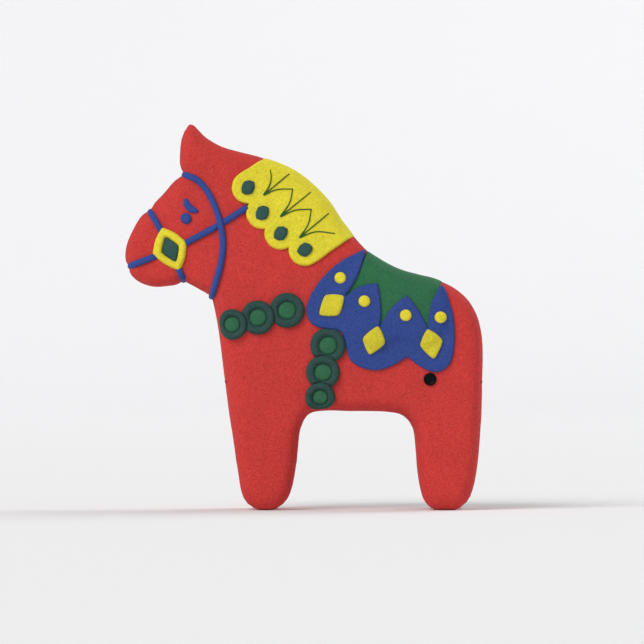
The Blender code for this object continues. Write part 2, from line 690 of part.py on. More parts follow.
def rings():
    """Padded felt rings with a raised rim and a round centre, cut away where the next one lies over them."""
    for name, (centre, radius, over) in RINGS.items():
        centre = np.array(centre)
        outer = circle(centre, radius, 18)
        inner = np.vstack([circle(centre, radius * 0.78, 14), circle(centre, radius * 0.5, 12), [centre]])
        if over:
            middle, reach = np.array(RINGS[over][0]), RINGS[over][1] + GAP
            outer = bitten_circle(centre, radius, middle, reach)
            inner = inner[np.linalg.norm(inner - middle, axis=1) > reach + 0.6]

        def top(points, centre=centre, radius=radius):
            share = np.linalg.norm(points - centre, axis=1) / radius
            return GAP + np.interp(share, RING_SHARES, RING_HEIGHTS)

        pieces = applique(name, outer, inner, GAP, top, "teal_felt")
        if name == UNDER_SKIRT:
            skirt = offset(skirt_outline(), -GAP)
            for side, piece in zip((-1, 1), pieces):
                combine(piece, prism("skirt", skirt, *sorted((side * 5, side * 40))), "DIFFERENCE")


def bitten_circle(centre, radius, middle, reach):
    """A circle's outline with another circle cut out of it."""
    towards = middle - centre
    apart = np.linalg.norm(towards)
    heading = math.atan2(towards[1], towards[0])
    own = math.acos((apart**2 + radius**2 - reach**2) / (2 * apart * radius))
    other = math.acos((apart**2 + reach**2 - radius**2) / (2 * apart * reach))
    outer = arc(centre, radius, heading + own, heading + 2 * math.pi - own, 15)
    bite = arc(middle, reach, heading + math.pi + other, heading + math.pi - other, 7)
    return np.vstack([outer, bite[1:-1]])


# ---- Bridle ---------------------------------------------------------------------------------------------


def over_surface(path, side, lift):
    """The path laid on one side of the body, lift above its felt."""
    return [(p[0], side * y, p[1]) for p, y in zip(path, surface(path, lift))]


def wrap(path, lifts):
    """The path laid down the left side of the body, and back up the right side."""
    depths = [surface(point, lift)[0] for point, lift in zip(path, lifts)]
    left = [(p[0], -y, p[1]) for p, y in zip(path, depths)]
    return left, [(x, -y, z) for x, y, z in left[::-1]]


def crossing(start, end):
    """Points of the straight run across the gusset, between the two sides."""
    return [tuple(np.array(start) + t * (np.array(end) - start)) for t in (0.33, 0.67)]


def to_rim(path, lift, at_start, at_end):
    """The path with its ends moved along it to lift outside the silhouette, and spread evenly."""
    curve = spline(path, False, 16)
    step_out = curve[0] - (curve[1] - curve[0]) / np.linalg.norm(curve[1] - curve[0]) * RUN_OUT
    step_on = curve[-1] + (curve[-1] - curve[-2]) / np.linalg.norm(curve[-1] - curve[-2]) * RUN_OUT
    curve = np.vstack([step_out, curve, step_on])
    fine = np.vstack([np.linspace(a, b, 24, endpoint=False) for a, b in zip(curve[:-1], curve[1:])])
    fine = fine[distance_inside(fine, OUTLINE) > -lift]
    if not at_start:
        fine = fine[np.argmin(np.linalg.norm(fine - path[0], axis=1)):]
    if not at_end:
        fine = fine[: np.argmin(np.linalg.norm(fine - path[-1], axis=1)) + 1]
    kept = [fine[0]]
    for point in fine[1:]:
        at_edge = abs(distance_inside(point, OUTLINE)[0]) < EDGE_ROUND
        if np.linalg.norm(point - kept[-1]) > (CORD_STEP_AT_EDGE if at_edge else CORD_STEP):
            kept.append(point)
    kept[-1] = fine[-1]
    return np.array(kept)


def bridle():
    lift = GAP + CORD_RADIUS
    for name, path in (("throat_lash", THROAT_LASH), ("noseband", NOSEBAND)):
        path = to_rim(path, lift, True, True)
        lifts = lift + (over_rein(path) if name == "throat_lash" else 0 * path[:, 0])
        left, right = wrap(path, lifts)
        loop = left + crossing(left[-1], right[0]) + right + crossing(right[-1], left[0])
        tube(name, loop, CORD_RADIUS, "blue_cord", closed=True)
    path = to_rim(MOUTH_STRAP, lift, True, False)
    left, right = wrap(path, np.full(len(path), lift))
    tube("mouth_strap", left[::-1] + crossing(left[0], right[-1]) + right[::-1], CORD_RADIUS, "blue_cord")
    path = to_rim(REIN, lift, False, False)
    for word, side in (("left", -1), ("right", 1)):
        tube(f"{word}_rein", over_surface(path, side, lift), CORD_RADIUS, "blue_cord")


def over_rein(path):
    """How far the throat lash is lifted where it passes over the rein."""
    near = np.linalg.norm(path - np.array(REIN[REIN_CROSSING]), axis=1)
    return (2 * CORD_RADIUS + GAP) * (1 - smoothstep(CORD_RADIUS * 1.6, CORD_RADIUS * 5, near))


def rosettes():
    """A yellow diamond frame with a green centre on each cheek, both grooved for the noseband under them."""
    outer = rounded(ROSETTE_OUTER, 2.2, 0.5)
    hole = rounded(ROSETTE_INNER, 0.7, 0.2, 2)
    middle = np.mean(ROSETTE_INNER, axis=0)
    centre = middle + (hole - middle) * CENTRE_FIT

    def base(points):
        return surface(points, GAP)

    def frame_top(points):
        return surface(points, GAP + FRAME_THICK)

    def centre_top(points):
        return surface(points, GAP + FRAME_CENTRE)

    for word, side in (("left", -1), ("right", 1)):
        frame = plate(f"{word}_rosette_frame", outer, [middle], base, frame_top, "yellow_felt", side)
        combine(frame, prism("hole", hole, *sorted((side * 5, side * 30))), "DIFFERENCE")
        jewel = plate(f"{word}_rosette_centre", centre, [middle], base, centre_top, "green_felt", side)
        for piece in (frame, jewel):
            groove = over_surface(np.array(NOSEBAND[1:4]), side, GAP + CORD_RADIUS)
            before = np.array(groove[0]) * 2 - groove[1]
            after = np.array(groove[-1]) * 2 - groove[-2]
            radius = CORD_RADIUS + GAP + GROOVE_EXTRA
            combine(piece, tube("groove", [before, *groove, after], radius, "red_felt"), "DIFFERENCE")


def brow_outline():
    """The outline of the tapering brow, with rounded ends, and points along its middle."""
    line = spline(BROW, False, 3)
    along = np.gradient(line, axis=0)
    along /= np.linalg.norm(along, axis=1)[:, None]
    across = np.stack([-along[:, 1], along[:, 0]], axis=1)
    share = np.linspace(0, 1, len(line))
    half = np.interp(share, np.linspace(0, 1, len(BROW)), BROW_HALVES)
    half = (half * np.sqrt(1 - (1.9 * share - 0.95) ** 6))[:, None]
    return np.vstack([line + across * half, (line - across * half)[::-1]]), line[2:-2:2]


def face_and_button():
    """Eyes, brows and the round button on each hip."""
    eye_ring = np.vstack([circle(EYE, EYE_RADIUS * 0.6, 10), [EYE]])

    def eye_top(points):
        return SOFT_GAP + dome_height(points, EYE, EYE_RADIUS, EYE_DOME)

    def button_top(points):
        return GAP + dome_height(points, HIP_BUTTON, HIP_RADIUS, BUTTON_THICK)

    applique("eye", circle(EYE, EYE_RADIUS, 14), eye_ring, SOFT_GAP, eye_top, "blue_cord")
    applique("brow", *brow_outline(), SOFT_GAP, SOFT_GAP + BROW_THICK, "blue_cord")
    button_ring = np.vstack([circle(HIP_BUTTON, HIP_RADIUS * 0.6, 10), [HIP_BUTTON]])
    applique("hip_button", circle(HIP_BUTTON, HIP_RADIUS, 16), button_ring, GAP, button_top, "black_button")


# ---- Build ----------------------------------------------------------------------------------------------


def felt_material(name, colour):
    made = bpy.data.materials.new(name)
    made.use_nodes = True
    shader = made.node_tree.nodes["Principled BSDF"]
    shader.inputs["Base Color"].default_value = (*colour, 1)
    shader.inputs["Roughness"].default_value = 0.35 if name == "black_button" else 0.9
    shader.inputs["Metallic"].default_value = 0.0
    return made


for old in list(bpy.data.objects):
    bpy.data.objects.remove(old)
MATERIALS = {name: felt_material(name, colour) for name, colour in COLOURS.items()}
HORSE = bpy.data.objects.new("dala_horse", None)
bpy.context.scene.collection.objects.link(HORSE)

side_panels()
gussets()
stuffing()
mane()
mane_lozenges()
mane_stitching()
saddle()
rings()
bridle()
rosettes()
face_and_button()
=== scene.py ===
"""The looks of the stitched felt dala horse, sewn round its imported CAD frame.

Lengths are in millimetres until an object is made. Flat shapes are drawn in the X-Z plane, as (x, z).
The horse's left side faces -Y. Pieces are shaped on the left, and mirrored to the right.
"""

import math
from itertools import combinations

import bmesh
import bpy
import numpy as np
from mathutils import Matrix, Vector, kdtree, noise
from mathutils.geometry import delaunay_2d_cdt


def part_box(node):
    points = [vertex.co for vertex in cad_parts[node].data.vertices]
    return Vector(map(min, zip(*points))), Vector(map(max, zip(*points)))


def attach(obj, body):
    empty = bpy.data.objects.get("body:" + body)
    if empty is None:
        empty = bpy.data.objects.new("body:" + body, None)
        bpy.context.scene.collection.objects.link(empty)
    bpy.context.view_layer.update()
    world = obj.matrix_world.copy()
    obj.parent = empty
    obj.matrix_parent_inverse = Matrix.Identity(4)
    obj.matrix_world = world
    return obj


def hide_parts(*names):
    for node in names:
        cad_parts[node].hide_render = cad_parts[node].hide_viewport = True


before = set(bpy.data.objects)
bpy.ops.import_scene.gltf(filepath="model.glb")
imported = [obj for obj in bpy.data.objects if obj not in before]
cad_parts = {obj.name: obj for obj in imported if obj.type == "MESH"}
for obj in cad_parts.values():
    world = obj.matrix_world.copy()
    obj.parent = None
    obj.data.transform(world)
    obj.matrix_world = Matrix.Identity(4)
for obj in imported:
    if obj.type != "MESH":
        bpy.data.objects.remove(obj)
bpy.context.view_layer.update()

MM = 0.001
LEFTWARDS = np.array([0.0, -1.0, 0.0])
TO_RIGHT = np.array([1, -1, 1])  # mirrors a point of the left side

# The body's half thickness: where it narrows, and by how much.
HEAD_HALF, NECK_BOTTOM, NECK_TOP = 13.5, 76.0, 126.0
NOSE_TAPER, CHEEK_X, NOSE_X, JAW_BOTTOM, JAW_TOP = 2.0, -46.0, -70.0, 80.0, 95.0
EAR_TAPER, EAR_BOTTOM = 3.0, 140.0

# The stuffed body.
EDGE_ROUND = 5.5  # radius of the edge between side and gusset
BULGE_CAP = 2.6  # the most that the filling pushes the sides out
PRESSURE, FRAMES = 4.0, 20  # of the simulation that blows the body up
BULGE_BLUR = 4.0  # how far its result is smoothed
LUMPS = 0.22  # unevenness of the filling
SKIN = 1.3  # felt of the body
CROWN_RADIUS = 130.0  # curvature across the band between the sides
CROWN_RISE = 0.15  # how much the filling pushes the middle of the band out
CROWN_REACH = 4.5  # how far in from the outline both are felt on the sides
FOOT_LOW, FOOT_HIGH = 2.0, 14.0  # both fade out between these heights, so that the feet stay flat
LEG_SLOT_HALF, LEG_SLOT_TOP = 5.0, 36.0
EAR_NOTCH_BOTTOM, EAR_NOTCH_HALF = 143.0, 3.6
CUT_SOFTENING = 2.2  # how far from a cut edge the felt is softened
SOFTENING_ROUNDS, SOFTENING_SHARE = 7, 0.55  # how often, and how far towards its neighbours a point goes

# Seams.
SEAM_DEPTH, SEAM_HALF = 0.55, 0.75  # how the seams pull in
GUSSET_SEAM_SHARE = 0.4  # how deep the seam between the gussets is, compared to those
PUCKER, PUCKER_AT, PUCKER_HALF = 0.12, 1.1, 1.0  # the dents that the stitches make beside a seam
STITCH_PITCH, STITCH_REACH, STITCH_RADIUS = 3.1, 1.15, 0.2
STITCH_SLANT = 0.35  # how far a whip stitch leans, as a share of the pitch
STITCH_SUNK, STITCH_DIVE = 0.14, 0.4  # how deep it lies, and how much deeper its ends are
STITCH_STEPS = np.linspace(-1, 1, 9)

# Felt pieces and cords laid on the body.
SINK = 0.25  # how far a sewn piece presses into what it lies on
MANE_FELT, PAD_FELT, SKIRT_FELT = 1.5, 1.4, 1.3
CREST_THIN = 0.4  # how thin the mane and pad are drawn over the back
FELT_ROUND, PADDED_ROUND, FRAME_ROUND, RING_ROUND = 0.75, 0.5, 0.4, 0.9  # rounding of a cut felt edge
CUT_SHARE = 0.22  # how high the felt is right at that edge, as a share
THREAD_RADIUS, KNOT_RADIUS = 0.23, 0.36
CORD_RADIUS, CORD_FLATTEN = 1.3, 0.88
CORD_LIFT, CORD_LIFT_AT_EDGE = 0.65, -0.45  # from the felt to a cord's middle; it dents the body's edge
OVER_REIN, UNDER_LASH, UNDER_ROSETTE = 0.9, 0.75, 1.3  # how far cords give way to what they cross
GIVE_WAY = 2.2  # how far beside another cord they do so
TUCKED = 2.0  # how far a cord's end goes on, under what covers it
CORD_BESIDE = 7.0  # a CAD cord is beside the head, and not across it, from here on outwards
CUT_OFF = 6  # steps near a cord's rounded ends, whose middle isn't the cord's middle

# Padded pieces: height at the cut edge, extra height in the middle, width of the slope between them.
LOZENGE_PADDING = (0.5, 0.9, 1.6)
DIAMOND_PADDING = (0.8, 0.45, 1.8)
DOT_PADDING = (0.5, 0.7, 1.8)
FRAME_PADDING = (0.6, 1.5, 1.5)
CENTRE_PADDING = (0.55, 0.35, 1.4)
EYE_PADDING = (0.45, 1.0, 2.1)
BROW_PADDING = (0.45, 0.6, 1.0)
HOLE_TO_CENTRE = 1.07  # how much wider the hole in a rosette is than its CAD centre
FILLED = 1.05  # and how much wider the padded centre is

# Rings. Shares are of a ring's radius.
RING_CHAINS = [
    ["breast_ring_1", "breast_ring_2", "breast_ring_3"],
    ["girth_ring_3", "girth_ring_2", "girth_ring_1"],
]
RIM_AT, RIM_HALF, RIM_HEIGHT, GROOVE_HEIGHT = 0.77, 0.25, 2.3, 0.8
CENTRE_SHARE, CENTRE_EDGE, CENTRE_DOME = 0.5, 0.9, 0.75
PRESSED = 0.45  # height of a ring where another, or the skirt, lies on it
RING_MARGIN = 0.6  # how far a ring stays from the body's outline

# A button's height at shares of its radius: dished, with a raised rim.
BUTTON_PROFILE = [(0, 0.75), (0.3, 0.74), (0.55, 0.78), (0.68, 0.95), (0.8, 1.1), (0.92, 0.98), (1.0, 0.55)]

# Embroidery strokes, from the lower front corner of the CAD embroidery's box.
STROKES = [
    [(0.5, 17.7), (2.9, 21.7), (3.6, 24.9), (3.2, 28.0)],
    [(0.5, 17.7), (10.9, 26.4)],
    [(0.5, 17.7), (5.7, 19.9), (12.3, 20.2)],
    [(7.3, 9.0), (11.2, 15.1), (12.3, 20.2)],
    [(7.3, 9.0), (19.6, 19.0)],
    [(7.3, 9.0), (13.3, 11.6), (19.8, 12.0)],
    [(15.0, 0.5), (18.6, 6.1), (19.8, 12.0)],
    [(15.0, 0.5), (26.9, 10.4)],
    [(15.0, 0.5), (21.1, 2.8), (29.4, 2.2)],
]

# The picture shows a plane this wide, centred here, seen square on from far away.
VIEW_WIDTH, VIEW_MIDDLE, VIEW_DISTANCE = 260.8, (7.3, 76.1), 3000.0
VIEW_PLANE = -12.0  # between the side's middle and its outline


# ---- Lines and flat outlines ----


def smoothstep(low, high, value):
    t = np.clip((value - low) / (high - low), 0, 1)
    return t * t * (3 - 2 * t)


def quarter_round(distance, radius):
    """Rises like a quarter circle, from 0 at an edge to 1 at a radius from it."""
    return np.sqrt(1 - (1 - np.clip(distance / radius, 0, 1)) ** 2)


def unit(vectors):
    return vectors / (np.linalg.norm(vectors, axis=-1, keepdims=True) + 1e-12)


def directions(count):
    """Evenly spaced directions all round."""
    angles = np.arange(count) * 2 * math.pi / count
    return np.stack([np.cos(angles), np.sin(angles)], axis=1)


def corners_and_faces(node):
    """A CAD node's corners in millimetres, each once, and its triangles."""
    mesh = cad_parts[node].data
    mesh.calc_loop_triangles()
    corners = np.array([v.co for v in mesh.vertices]) / MM
    unique, where = np.unique(np.round(corners, 3), axis=0, return_inverse=True)
    faces = np.array([t.vertices for t in mesh.loop_triangles])
    return unique, where.reshape(-1)[faces]


def flat_outlines(node):
    """The closed outlines of the part of a CAD node that faces left, largest first."""
    corners, faces = corners_and_faces(node)
    a, b, c = (corners[faces[:, i]] for i in range(3))
    sideways = unit(np.cross(b - a, c - a))[:, 1]
    wall, facing = np.abs(sideways) < 0.05, sideways < -0.1
    face_at = {(f[i], f[(i + 1) % 3]): n for n, f in enumerate(faces) for i in range(3)}
    following = {}
    for (start, end), face in face_at.items():
        other = face_at.get((end, start))
        if facing[face] and other is not None and wall[other]:
            following[start] = end
    loops = []
    while following:
        start, point = following.popitem()
        loop = [start]
        while point != start and point in following:
            loop.append(point)
            point = following.pop(point)
        if point == start:
            loops.append(corners[loop][:, [0, 2]])
    return sorted(loops, key=lambda loop: -abs(signed_area(loop)))


def signed_area(loop):
    x, z = loop[:, 0], loop[:, 1]
    return 0.5 * float(np.sum(x * np.roll(z, -1) - np.roll(x, -1) * z))


def heading(before, here, after):
    """The direction, at the middle one of three points, of the parabola through them."""
    came, goes = np.linalg.norm(here - before), np.linalg.norm(after - here)
    if came == 0 or goes == 0:
        return (after - before) / (came + goes)
    return (here - before) / came - (after - before) / (came + goes) + (after - here) / goes


def curved(points, spacing, closed=True, corner=42.0):
    """A smooth curve through the points. A closed one stays sharp where it turns by more than corner."""
    count = len(points)
    if closed and signed_area(points) < 0:
        points = points[::-1]
    ahead = np.roll(points, -1, axis=0) - points
    behind = points - np.roll(points, 1, axis=0)
    cross = behind[:, 0] * ahead[:, 1] - behind[:, 1] * ahead[:, 0]
    sharp = np.abs(np.degrees(np.arctan2(cross, (behind * ahead).sum(axis=1)))) > corner
    if not closed:
        sharp[:] = False
        sharp[[0, -1]] = True
    curve = []
    for i in range(count if closed else count - 1):
        j = (i + 1) % count
        p1, p2 = points[i], points[j]
        p0 = p1 if sharp[i] else points[i - 1]
        p3 = p2 if sharp[j] else points[(j + 1) % count]
        chord = np.linalg.norm(p2 - p1)
        leave = chord * heading(p0, p1, p2)
        arrive = chord * heading(p1, p2, p3)
        steps = max(1, round(chord / spacing))
        for t in np.arange(steps) / steps:
            ends = (2 * t**3 - 3 * t**2 + 1) * p1 + (3 * t**2 - 2 * t**3) * p2
            curve.append(ends + (t**3 - 2 * t**2 + t) * leave + (t**3 - t**2) * arrive)
    if not closed:
        curve.append(points[-1])
    return np.array(curve)


def looped(line):
    """A closed outline with its first point again at its end."""
    return np.vstack([line, line[:1]])


def walked(line):
    """How far along a line each of its points is."""
    return np.concatenate([[0], np.cumsum(np.linalg.norm(np.diff(line, axis=0), axis=1))])


def sampled(line, values, distances):
    """The values that go with a line's points, at these distances along the line."""
    return np.stack([np.interp(distances, walked(line), column) for column in values.T], axis=1)


def even(line, spacing):
    """The same line with evenly spaced points."""
    length = walked(line)[-1]
    return sampled(line, line, np.linspace(0, length, max(3, round(length / spacing))))


def smoothed(line, rounds, closed=True):
    for _ in range(rounds):
        softer = 0.25 * np.roll(line, 1, axis=0) + 0.5 * line + 0.25 * np.roll(line, -1, axis=0)
        if not closed:
            softer[[0, -1]] = line[[0, -1]]
        line = softer
    return line


def in_blocks(work):
    """Lets a function of points have them a thousand at a time, which saves memory."""

    def through(points, *others, **options):
        starts = range(0, max(1, len(points)), 1000)
        return np.concatenate([work(points[i : i + 1000], *others, **options) for i in starts], axis=-1)

    return through


@in_blocks
def nearest(points, line, closed=True):
    """Distance of each point from a line of points, and how far along the line it is."""
    line = looped(line) if closed else line
    begins, start, along = walked(line), line[:-1], np.diff(line, axis=0)
    lengths = np.diff(begins)
    away = points[:, None, :] - start
    share = np.clip((away * along).sum(-1) / (lengths**2 + 1e-12), 0, 1)
    distance = np.linalg.norm(away - share[..., None] * along, axis=-1)
    each, best = np.arange(len(points)), distance.argmin(axis=1)
    return np.stack([distance[each, best], begins[best] + share[each, best] * lengths[best]])


@in_blocks
def is_inside(points, loop):
    x, z = points[:, :1], points[:, 1:]
    (start_x, start_z), (end_x, end_z) = loop.T, np.roll(loop, -1, axis=0).T
    rise = np.where(end_z == start_z, 1e-12, end_z - start_z)
    crosses = (start_z > z) != (end_z > z)
    at_x = start_x + (z - start_z) / rise * (end_x - start_x)
    return (crosses & (x < at_x)).sum(axis=1) % 2 == 1


def from_outline(points, loop):
    """How deep inside a closed outline the points are, negative outside, and how far along it."""
    distance, place = nearest(points, loop)
    return np.where(is_inside(points, loop), distance, -distance), place


def depth_inside(points, loop):
    return from_outline(points, loop)[0]


def outward_directions(loop):
    """The outward direction at each point of a counter-clockwise outline."""
    tangent = unit(np.roll(loop, -1, axis=0) - np.roll(loop, 1, axis=0))
    return np.stack([tangent[:, 1], -tangent[:, 0]], axis=1)


def inset(loop, inward, keep=0.97):
    """The outline moved inwards, without the points that would cross over."""
    moved = loop - outward_directions(loop) * inward
    return moved[depth_inside(moved, loop) > keep * inward]


def scaled(loop, size):
    """The outline made larger or smaller about its middle."""
    return loop.mean(axis=0) + size * (loop - loop.mean(axis=0))


def grid_inside(loop, spacing, margin):
    """Points of a triangular grid inside an outline, margin or more from it."""
    low, high = loop.min(axis=0), loop.max(axis=0)
    rows, columns = ((high - low)[::-1] / (spacing * np.array([0.866, 1]))).astype(int) + 2
    row, column = np.mgrid[0:rows, 0:columns]
    x = low[0] + (column + 0.5 * (row % 2)) * spacing
    z = low[1] + row * spacing * 0.866
    grid = np.stack([x.ravel(), z.ravel()], axis=1)
    return grid[depth_inside(grid, loop) > margin]


def tree_of(points):
    """A search tree of points with three coordinates."""
    tree = kdtree.KDTree(len(points))
    for number, point in enumerate(points):
        tree.insert(point, number)
    tree.balance()
    return tree


def spread(points, closest):
    """The points without those that lie closer than closest to an earlier one."""
    upright = laid(points, 0 * points[:, 0])
    tree, dropped = tree_of(upright), set()
    for number, point in enumerate(upright):
        if number not in dropped:
            dropped.update(other for _, other, _ in tree.find_range(point, closest) if other > number)
    return np.delete(points, sorted(dropped), axis=0)


def fill(loops, inner):
    """Triangles between closed outlines, the first outermost, with extra points inside. They face left."""
    points, edges = [], []
    for loop in loops:
        first = len(points)
        points += [Vector(p) for p in loop]
        edges += [(first + i, first + (i + 1) % len(loop)) for i in range(len(loop))]
    found = delaunay_2d_cdt(points + [Vector(p) for p in inner], edges, [], 1, 1e-5)
    flat = np.array([(v.x, v.y) for v in found[0]])
    faces = np.array([list(f) for f in found[2]])
    for hole in loops[1:]:
        faces = faces[~is_inside(flat[faces].mean(axis=1), hole)]
    return flat, faces


# ---- Meshes and objects ----


def between(rows, closed=True):
    """Quads that join each row of point numbers to the next."""
    faces = []
    for a, b in zip(rows[:-1], rows[1:]):
        quads = np.stack([a, b, np.roll(b, -1), np.roll(a, -1)], axis=1).tolist()
        faces += quads if closed else quads[:-1]
    return faces


def lofted(sections, closed=False):
    """Vertices and faces of a solid through sections, with flat ends unless it closes on itself."""
    rows = np.arange(sections.shape[0] * sections.shape[1]).reshape(sections.shape[:2])
    ends = [] if closed else [rows[0][::-1], rows[-1]]
    quads = between(looped(rows) if closed else rows)
    return sections.reshape(-1, 3), [*ends, *([a, d, c, b] for a, b, c, d in quads)]


def across_rows(rim, count, strips):
    """Point numbers from seam to seam: the left side's rim, each strip between, and the right side's rim.

    The points are those of the left side, count in all, then of the right side and then of the strips.
    """
    between_seams = [2 * count + rim * k + np.arange(rim) for k in range(strips)]
    return [np.arange(rim), *between_seams, count + np.arange(rim)]


def tube(path, normals, radius, sides=12, closed=False, flatten=1.0):
    """A round cord along a path. normals and radius are the same all along it, or one for each point."""
    if closed:
        along = unit(np.roll(path, -1, axis=0) - np.roll(path, 1, axis=0))
    else:
        along = unit(np.gradient(path, axis=0))
    across = unit(np.cross(along, normals))
    up = flatten * np.cross(across, along)
    radius = np.broadcast_to(radius, len(path))[:, None, None]
    c, s = directions(sides).T[:, None, :, None]
    return lofted(path[:, None] + radius * (c * across[:, None] + s * up[:, None]), closed)


def joined(parts):
    """Several (vertices, faces) as one."""
    vertices, faces, first = [], [], 0
    for some, more in parts:
        vertices.append(some)
        faces += [[i + first for i in f] for f in more]
        first += len(some)
    return np.vstack(vertices), faces


def mesh_of(name, vertices, faces, *materials):
    """A mesh from points in millimetres."""
    mesh = bpy.data.meshes.new(name)
    mesh.from_pydata([Vector(v) for v in np.asarray(vertices) * MM], [], [list(map(int, f)) for f in faces])
    for material in materials:
        mesh.materials.append(material)
    return mesh


def face_outwards(mesh):
    shape = bmesh.new()
    shape.from_mesh(mesh)
    bmesh.ops.recalc_face_normals(shape, faces=shape.faces)
    shape.to_mesh(mesh)
    shape.free()


def linked(name, data):
    """A new object in the scene."""
    made = bpy.data.objects.new(name, data)
    bpy.context.scene.collection.objects.link(made)
    return made


def worn(name, mesh, stands_for=()):
    """An object that is part of the horse."""
    mesh.shade_smooth()
    made = linked(name, mesh)
    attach(made, "root")
    if stands_for:
        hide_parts(*stands_for)
    return made


# ---- The body's surface ----


def box_mm(node):
    low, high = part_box(node)
    return np.array(low) / MM, np.array(high) / MM


PANEL_LOW, PANEL_HIGH = box_mm("left_side_panel")
BODY_HALF, EAR_TIP = -PANEL_LOW[1], PANEL_HIGH[2]
GUSSET_SPLIT = box_mm("underbody_gusset")[1][2]
BODY_CORNERS = flat_outlines("left_side_panel")[0]
OUTLINE = smoothed(curved(BODY_CORNERS, 1.1), 2)
OUTLINE[:, 1] = np.maximum(OUTLINE[:, 1], 0.0)
OUTWARD = outward_directions(OUTLINE)
PAD_OUTLINE = curved(flat_outlines("saddle_pad")[0], 1.0)


def on_outline(place):
    """The points at distances along the body's outline, and the outward directions there."""
    rim = looped(OUTLINE)
    return sampled(rim, rim, place), sampled(rim, looped(OUTWARD), place)


def edge_rings(angles):
    """The outline moved in to where the body's rounded edge has turned by these angles."""
    return [inset(OUTLINE, EDGE_ROUND * (1 - math.cos(math.radians(angle)))) for angle in angles]


def laid(flat, depth):
    """Flat points placed on the left side."""
    return np.stack([flat[:, 0], -depth, flat[:, 1]], axis=1)


def half_thickness(points):
    """Half the horse's thickness, before its edges round off and its filling pushes it out."""
    x, z = points[:, 0], points[:, 1]
    half = BODY_HALF - (BODY_HALF - HEAD_HALF) * smoothstep(NECK_BOTTOM, NECK_TOP, z)
    half = half - NOSE_TAPER * smoothstep(CHEEK_X, NOSE_X, x) * smoothstep(JAW_BOTTOM, JAW_TOP, z)
    return half - EAR_TAPER * smoothstep(EAR_BOTTOM, EAR_TIP, z)


def rounded_depth(points, depth):
    return half_thickness(points) - EDGE_ROUND * (1 - quarter_round(depth, EDGE_ROUND))


def felt_bag():
    """A coarse closed bag, its left side's flat points and place, and how many of them are on the seam."""
    loop = curved(BODY_CORNERS, 4.0)
    flat, faces = fill([loop], spread(np.vstack([inset(loop, 3.0), grid_inside(loop, 4.0, 5.0)]), 2.5))
    left = laid(flat, rounded_depth(flat, depth_inside(flat, loop)))
    rim, count = np.arange(len(loop)), len(flat)
    solid = [*faces, *(faces + count)[:, ::-1], *between([rim, rim + count])]
    mesh = mesh_of("bag", np.vstack([left, left * TO_RIGHT]), solid)
    face_outwards(mesh)
    return linked("bag", mesh), flat, left, len(loop)


def grow_bulge():
    """Blows up a felt bag, pinned at its seams, and returns where and how far its side moved."""
    bag, flat, left, rim = felt_bag()
    count = len(flat)
    seam = bag.vertex_groups.new(name="seam")
    seam.add([*range(rim), *range(count, count + rim)], 1.0, "REPLACE")
    cloth = bag.modifiers.new("cloth", "CLOTH")
    cloth.settings.vertex_group_mass = "seam"
    cloth.settings.quality = 5
    cloth.settings.use_pressure = True
    cloth.settings.uniform_pressure_force = PRESSURE
    cloth.settings.effector_weights.gravity = 0
    cloth.point_cache.frame_start, cloth.point_cache.frame_end = 1, FRAMES
    for number in range(1, FRAMES + 1):
        bpy.context.scene.frame_set(number)
    blown = bag.evaluated_get(bpy.context.evaluated_depsgraph_get()).to_mesh()
    outward = left[:, 1] - np.array([v.co.y for v in blown.vertices[:count]]) / MM
    bpy.data.objects.remove(bag)
    bpy.context.scene.frame_set(1)
    return flat, BULGE_CAP * np.tanh(np.maximum(outward, 0) / BULGE_CAP)


BULGE_AT, BULGE_BY = grow_bulge()
BULGE_TREE = tree_of(laid(BULGE_AT, 0 * BULGE_BY))


def bulge(points):
    """How far the filling has pushed the side out at each point."""
    out = np.empty(len(points))
    for i, point in enumerate(points):
        found = BULGE_TREE.find_n((point[0], 0, point[1]), 10)
        weight = np.array([math.exp(-((d / BULGE_BLUR) ** 2)) for _, _, d in found]) + 1e-9
        out[i] = weight @ BULGE_BY[[n for _, n, _ in found]] / weight.sum()
    return out


def lumps(points, size, seed):
    """Smooth noise between about -1 and 1."""
    return np.array([noise.noise((p[0] / size, seed, p[1] / size)) for p in points])


def skin(points):
    """How far the body's felt is from the middle plane."""
    depth = depth_inside(points, OUTLINE)
    ease = smoothstep(0, 6, depth)
    return rounded_depth(points, depth) + (bulge(points) + LUMPS * lumps(points, 14, 3.3)) * ease


def crowned(vertices):
    """The points, with the band between the sides rounded across, and nothing below the floor.

    The middle of the band hardly moves, so the horse keeps its silhouette.
    """
    vertices = np.array(vertices, float)
    flat = vertices[:, [0, 2]]
    depth, place = from_outline(flat, OUTLINE)
    across = np.minimum(np.abs(vertices[:, 1]), half_thickness(flat) - EDGE_ROUND)
    inwards = across**2 / (2 * CROWN_RADIUS) - CROWN_RISE
    inwards *= (1 - smoothstep(0, CROWN_REACH, depth)) * smoothstep(FOOT_LOW, FOOT_HIGH, flat[:, 1])
    vertices[:, [0, 2]] -= on_outline(place)[1] * inwards[:, None]
    vertices[:, 2] = np.maximum(vertices[:, 2], 0)
    return vertices


def under_skirt(points):
    """How far out the saddle skirt lies, lifted by the pad beneath it."""
    return skin(points) + PAD_FELT * smoothstep(-3.5, 0.5, depth_inside(points, PAD_OUTLINE))


def on_mane(points):
    return skin(points) + MANE_FELT


def on_skirt(points):
    return under_skirt(points) + SKIRT_FELT


# ---- Felt pieces ----


def normals_of(vertices, faces):
    a, b, c = (vertices[faces[:, i]] for i in range(3))
    total = np.zeros_like(vertices)
    for i in range(3):
        np.add.at(total, faces[:, i], np.cross(b - a, c - a))
    return unit(total)


def piece(name, vertices, faces, material, stands_for=()):
    """An object of the horse, from points in millimetres."""
    mesh = mesh_of(name, crowned(vertices), faces, material)
    mesh.validate()
    return worn(name, mesh, stands_for)


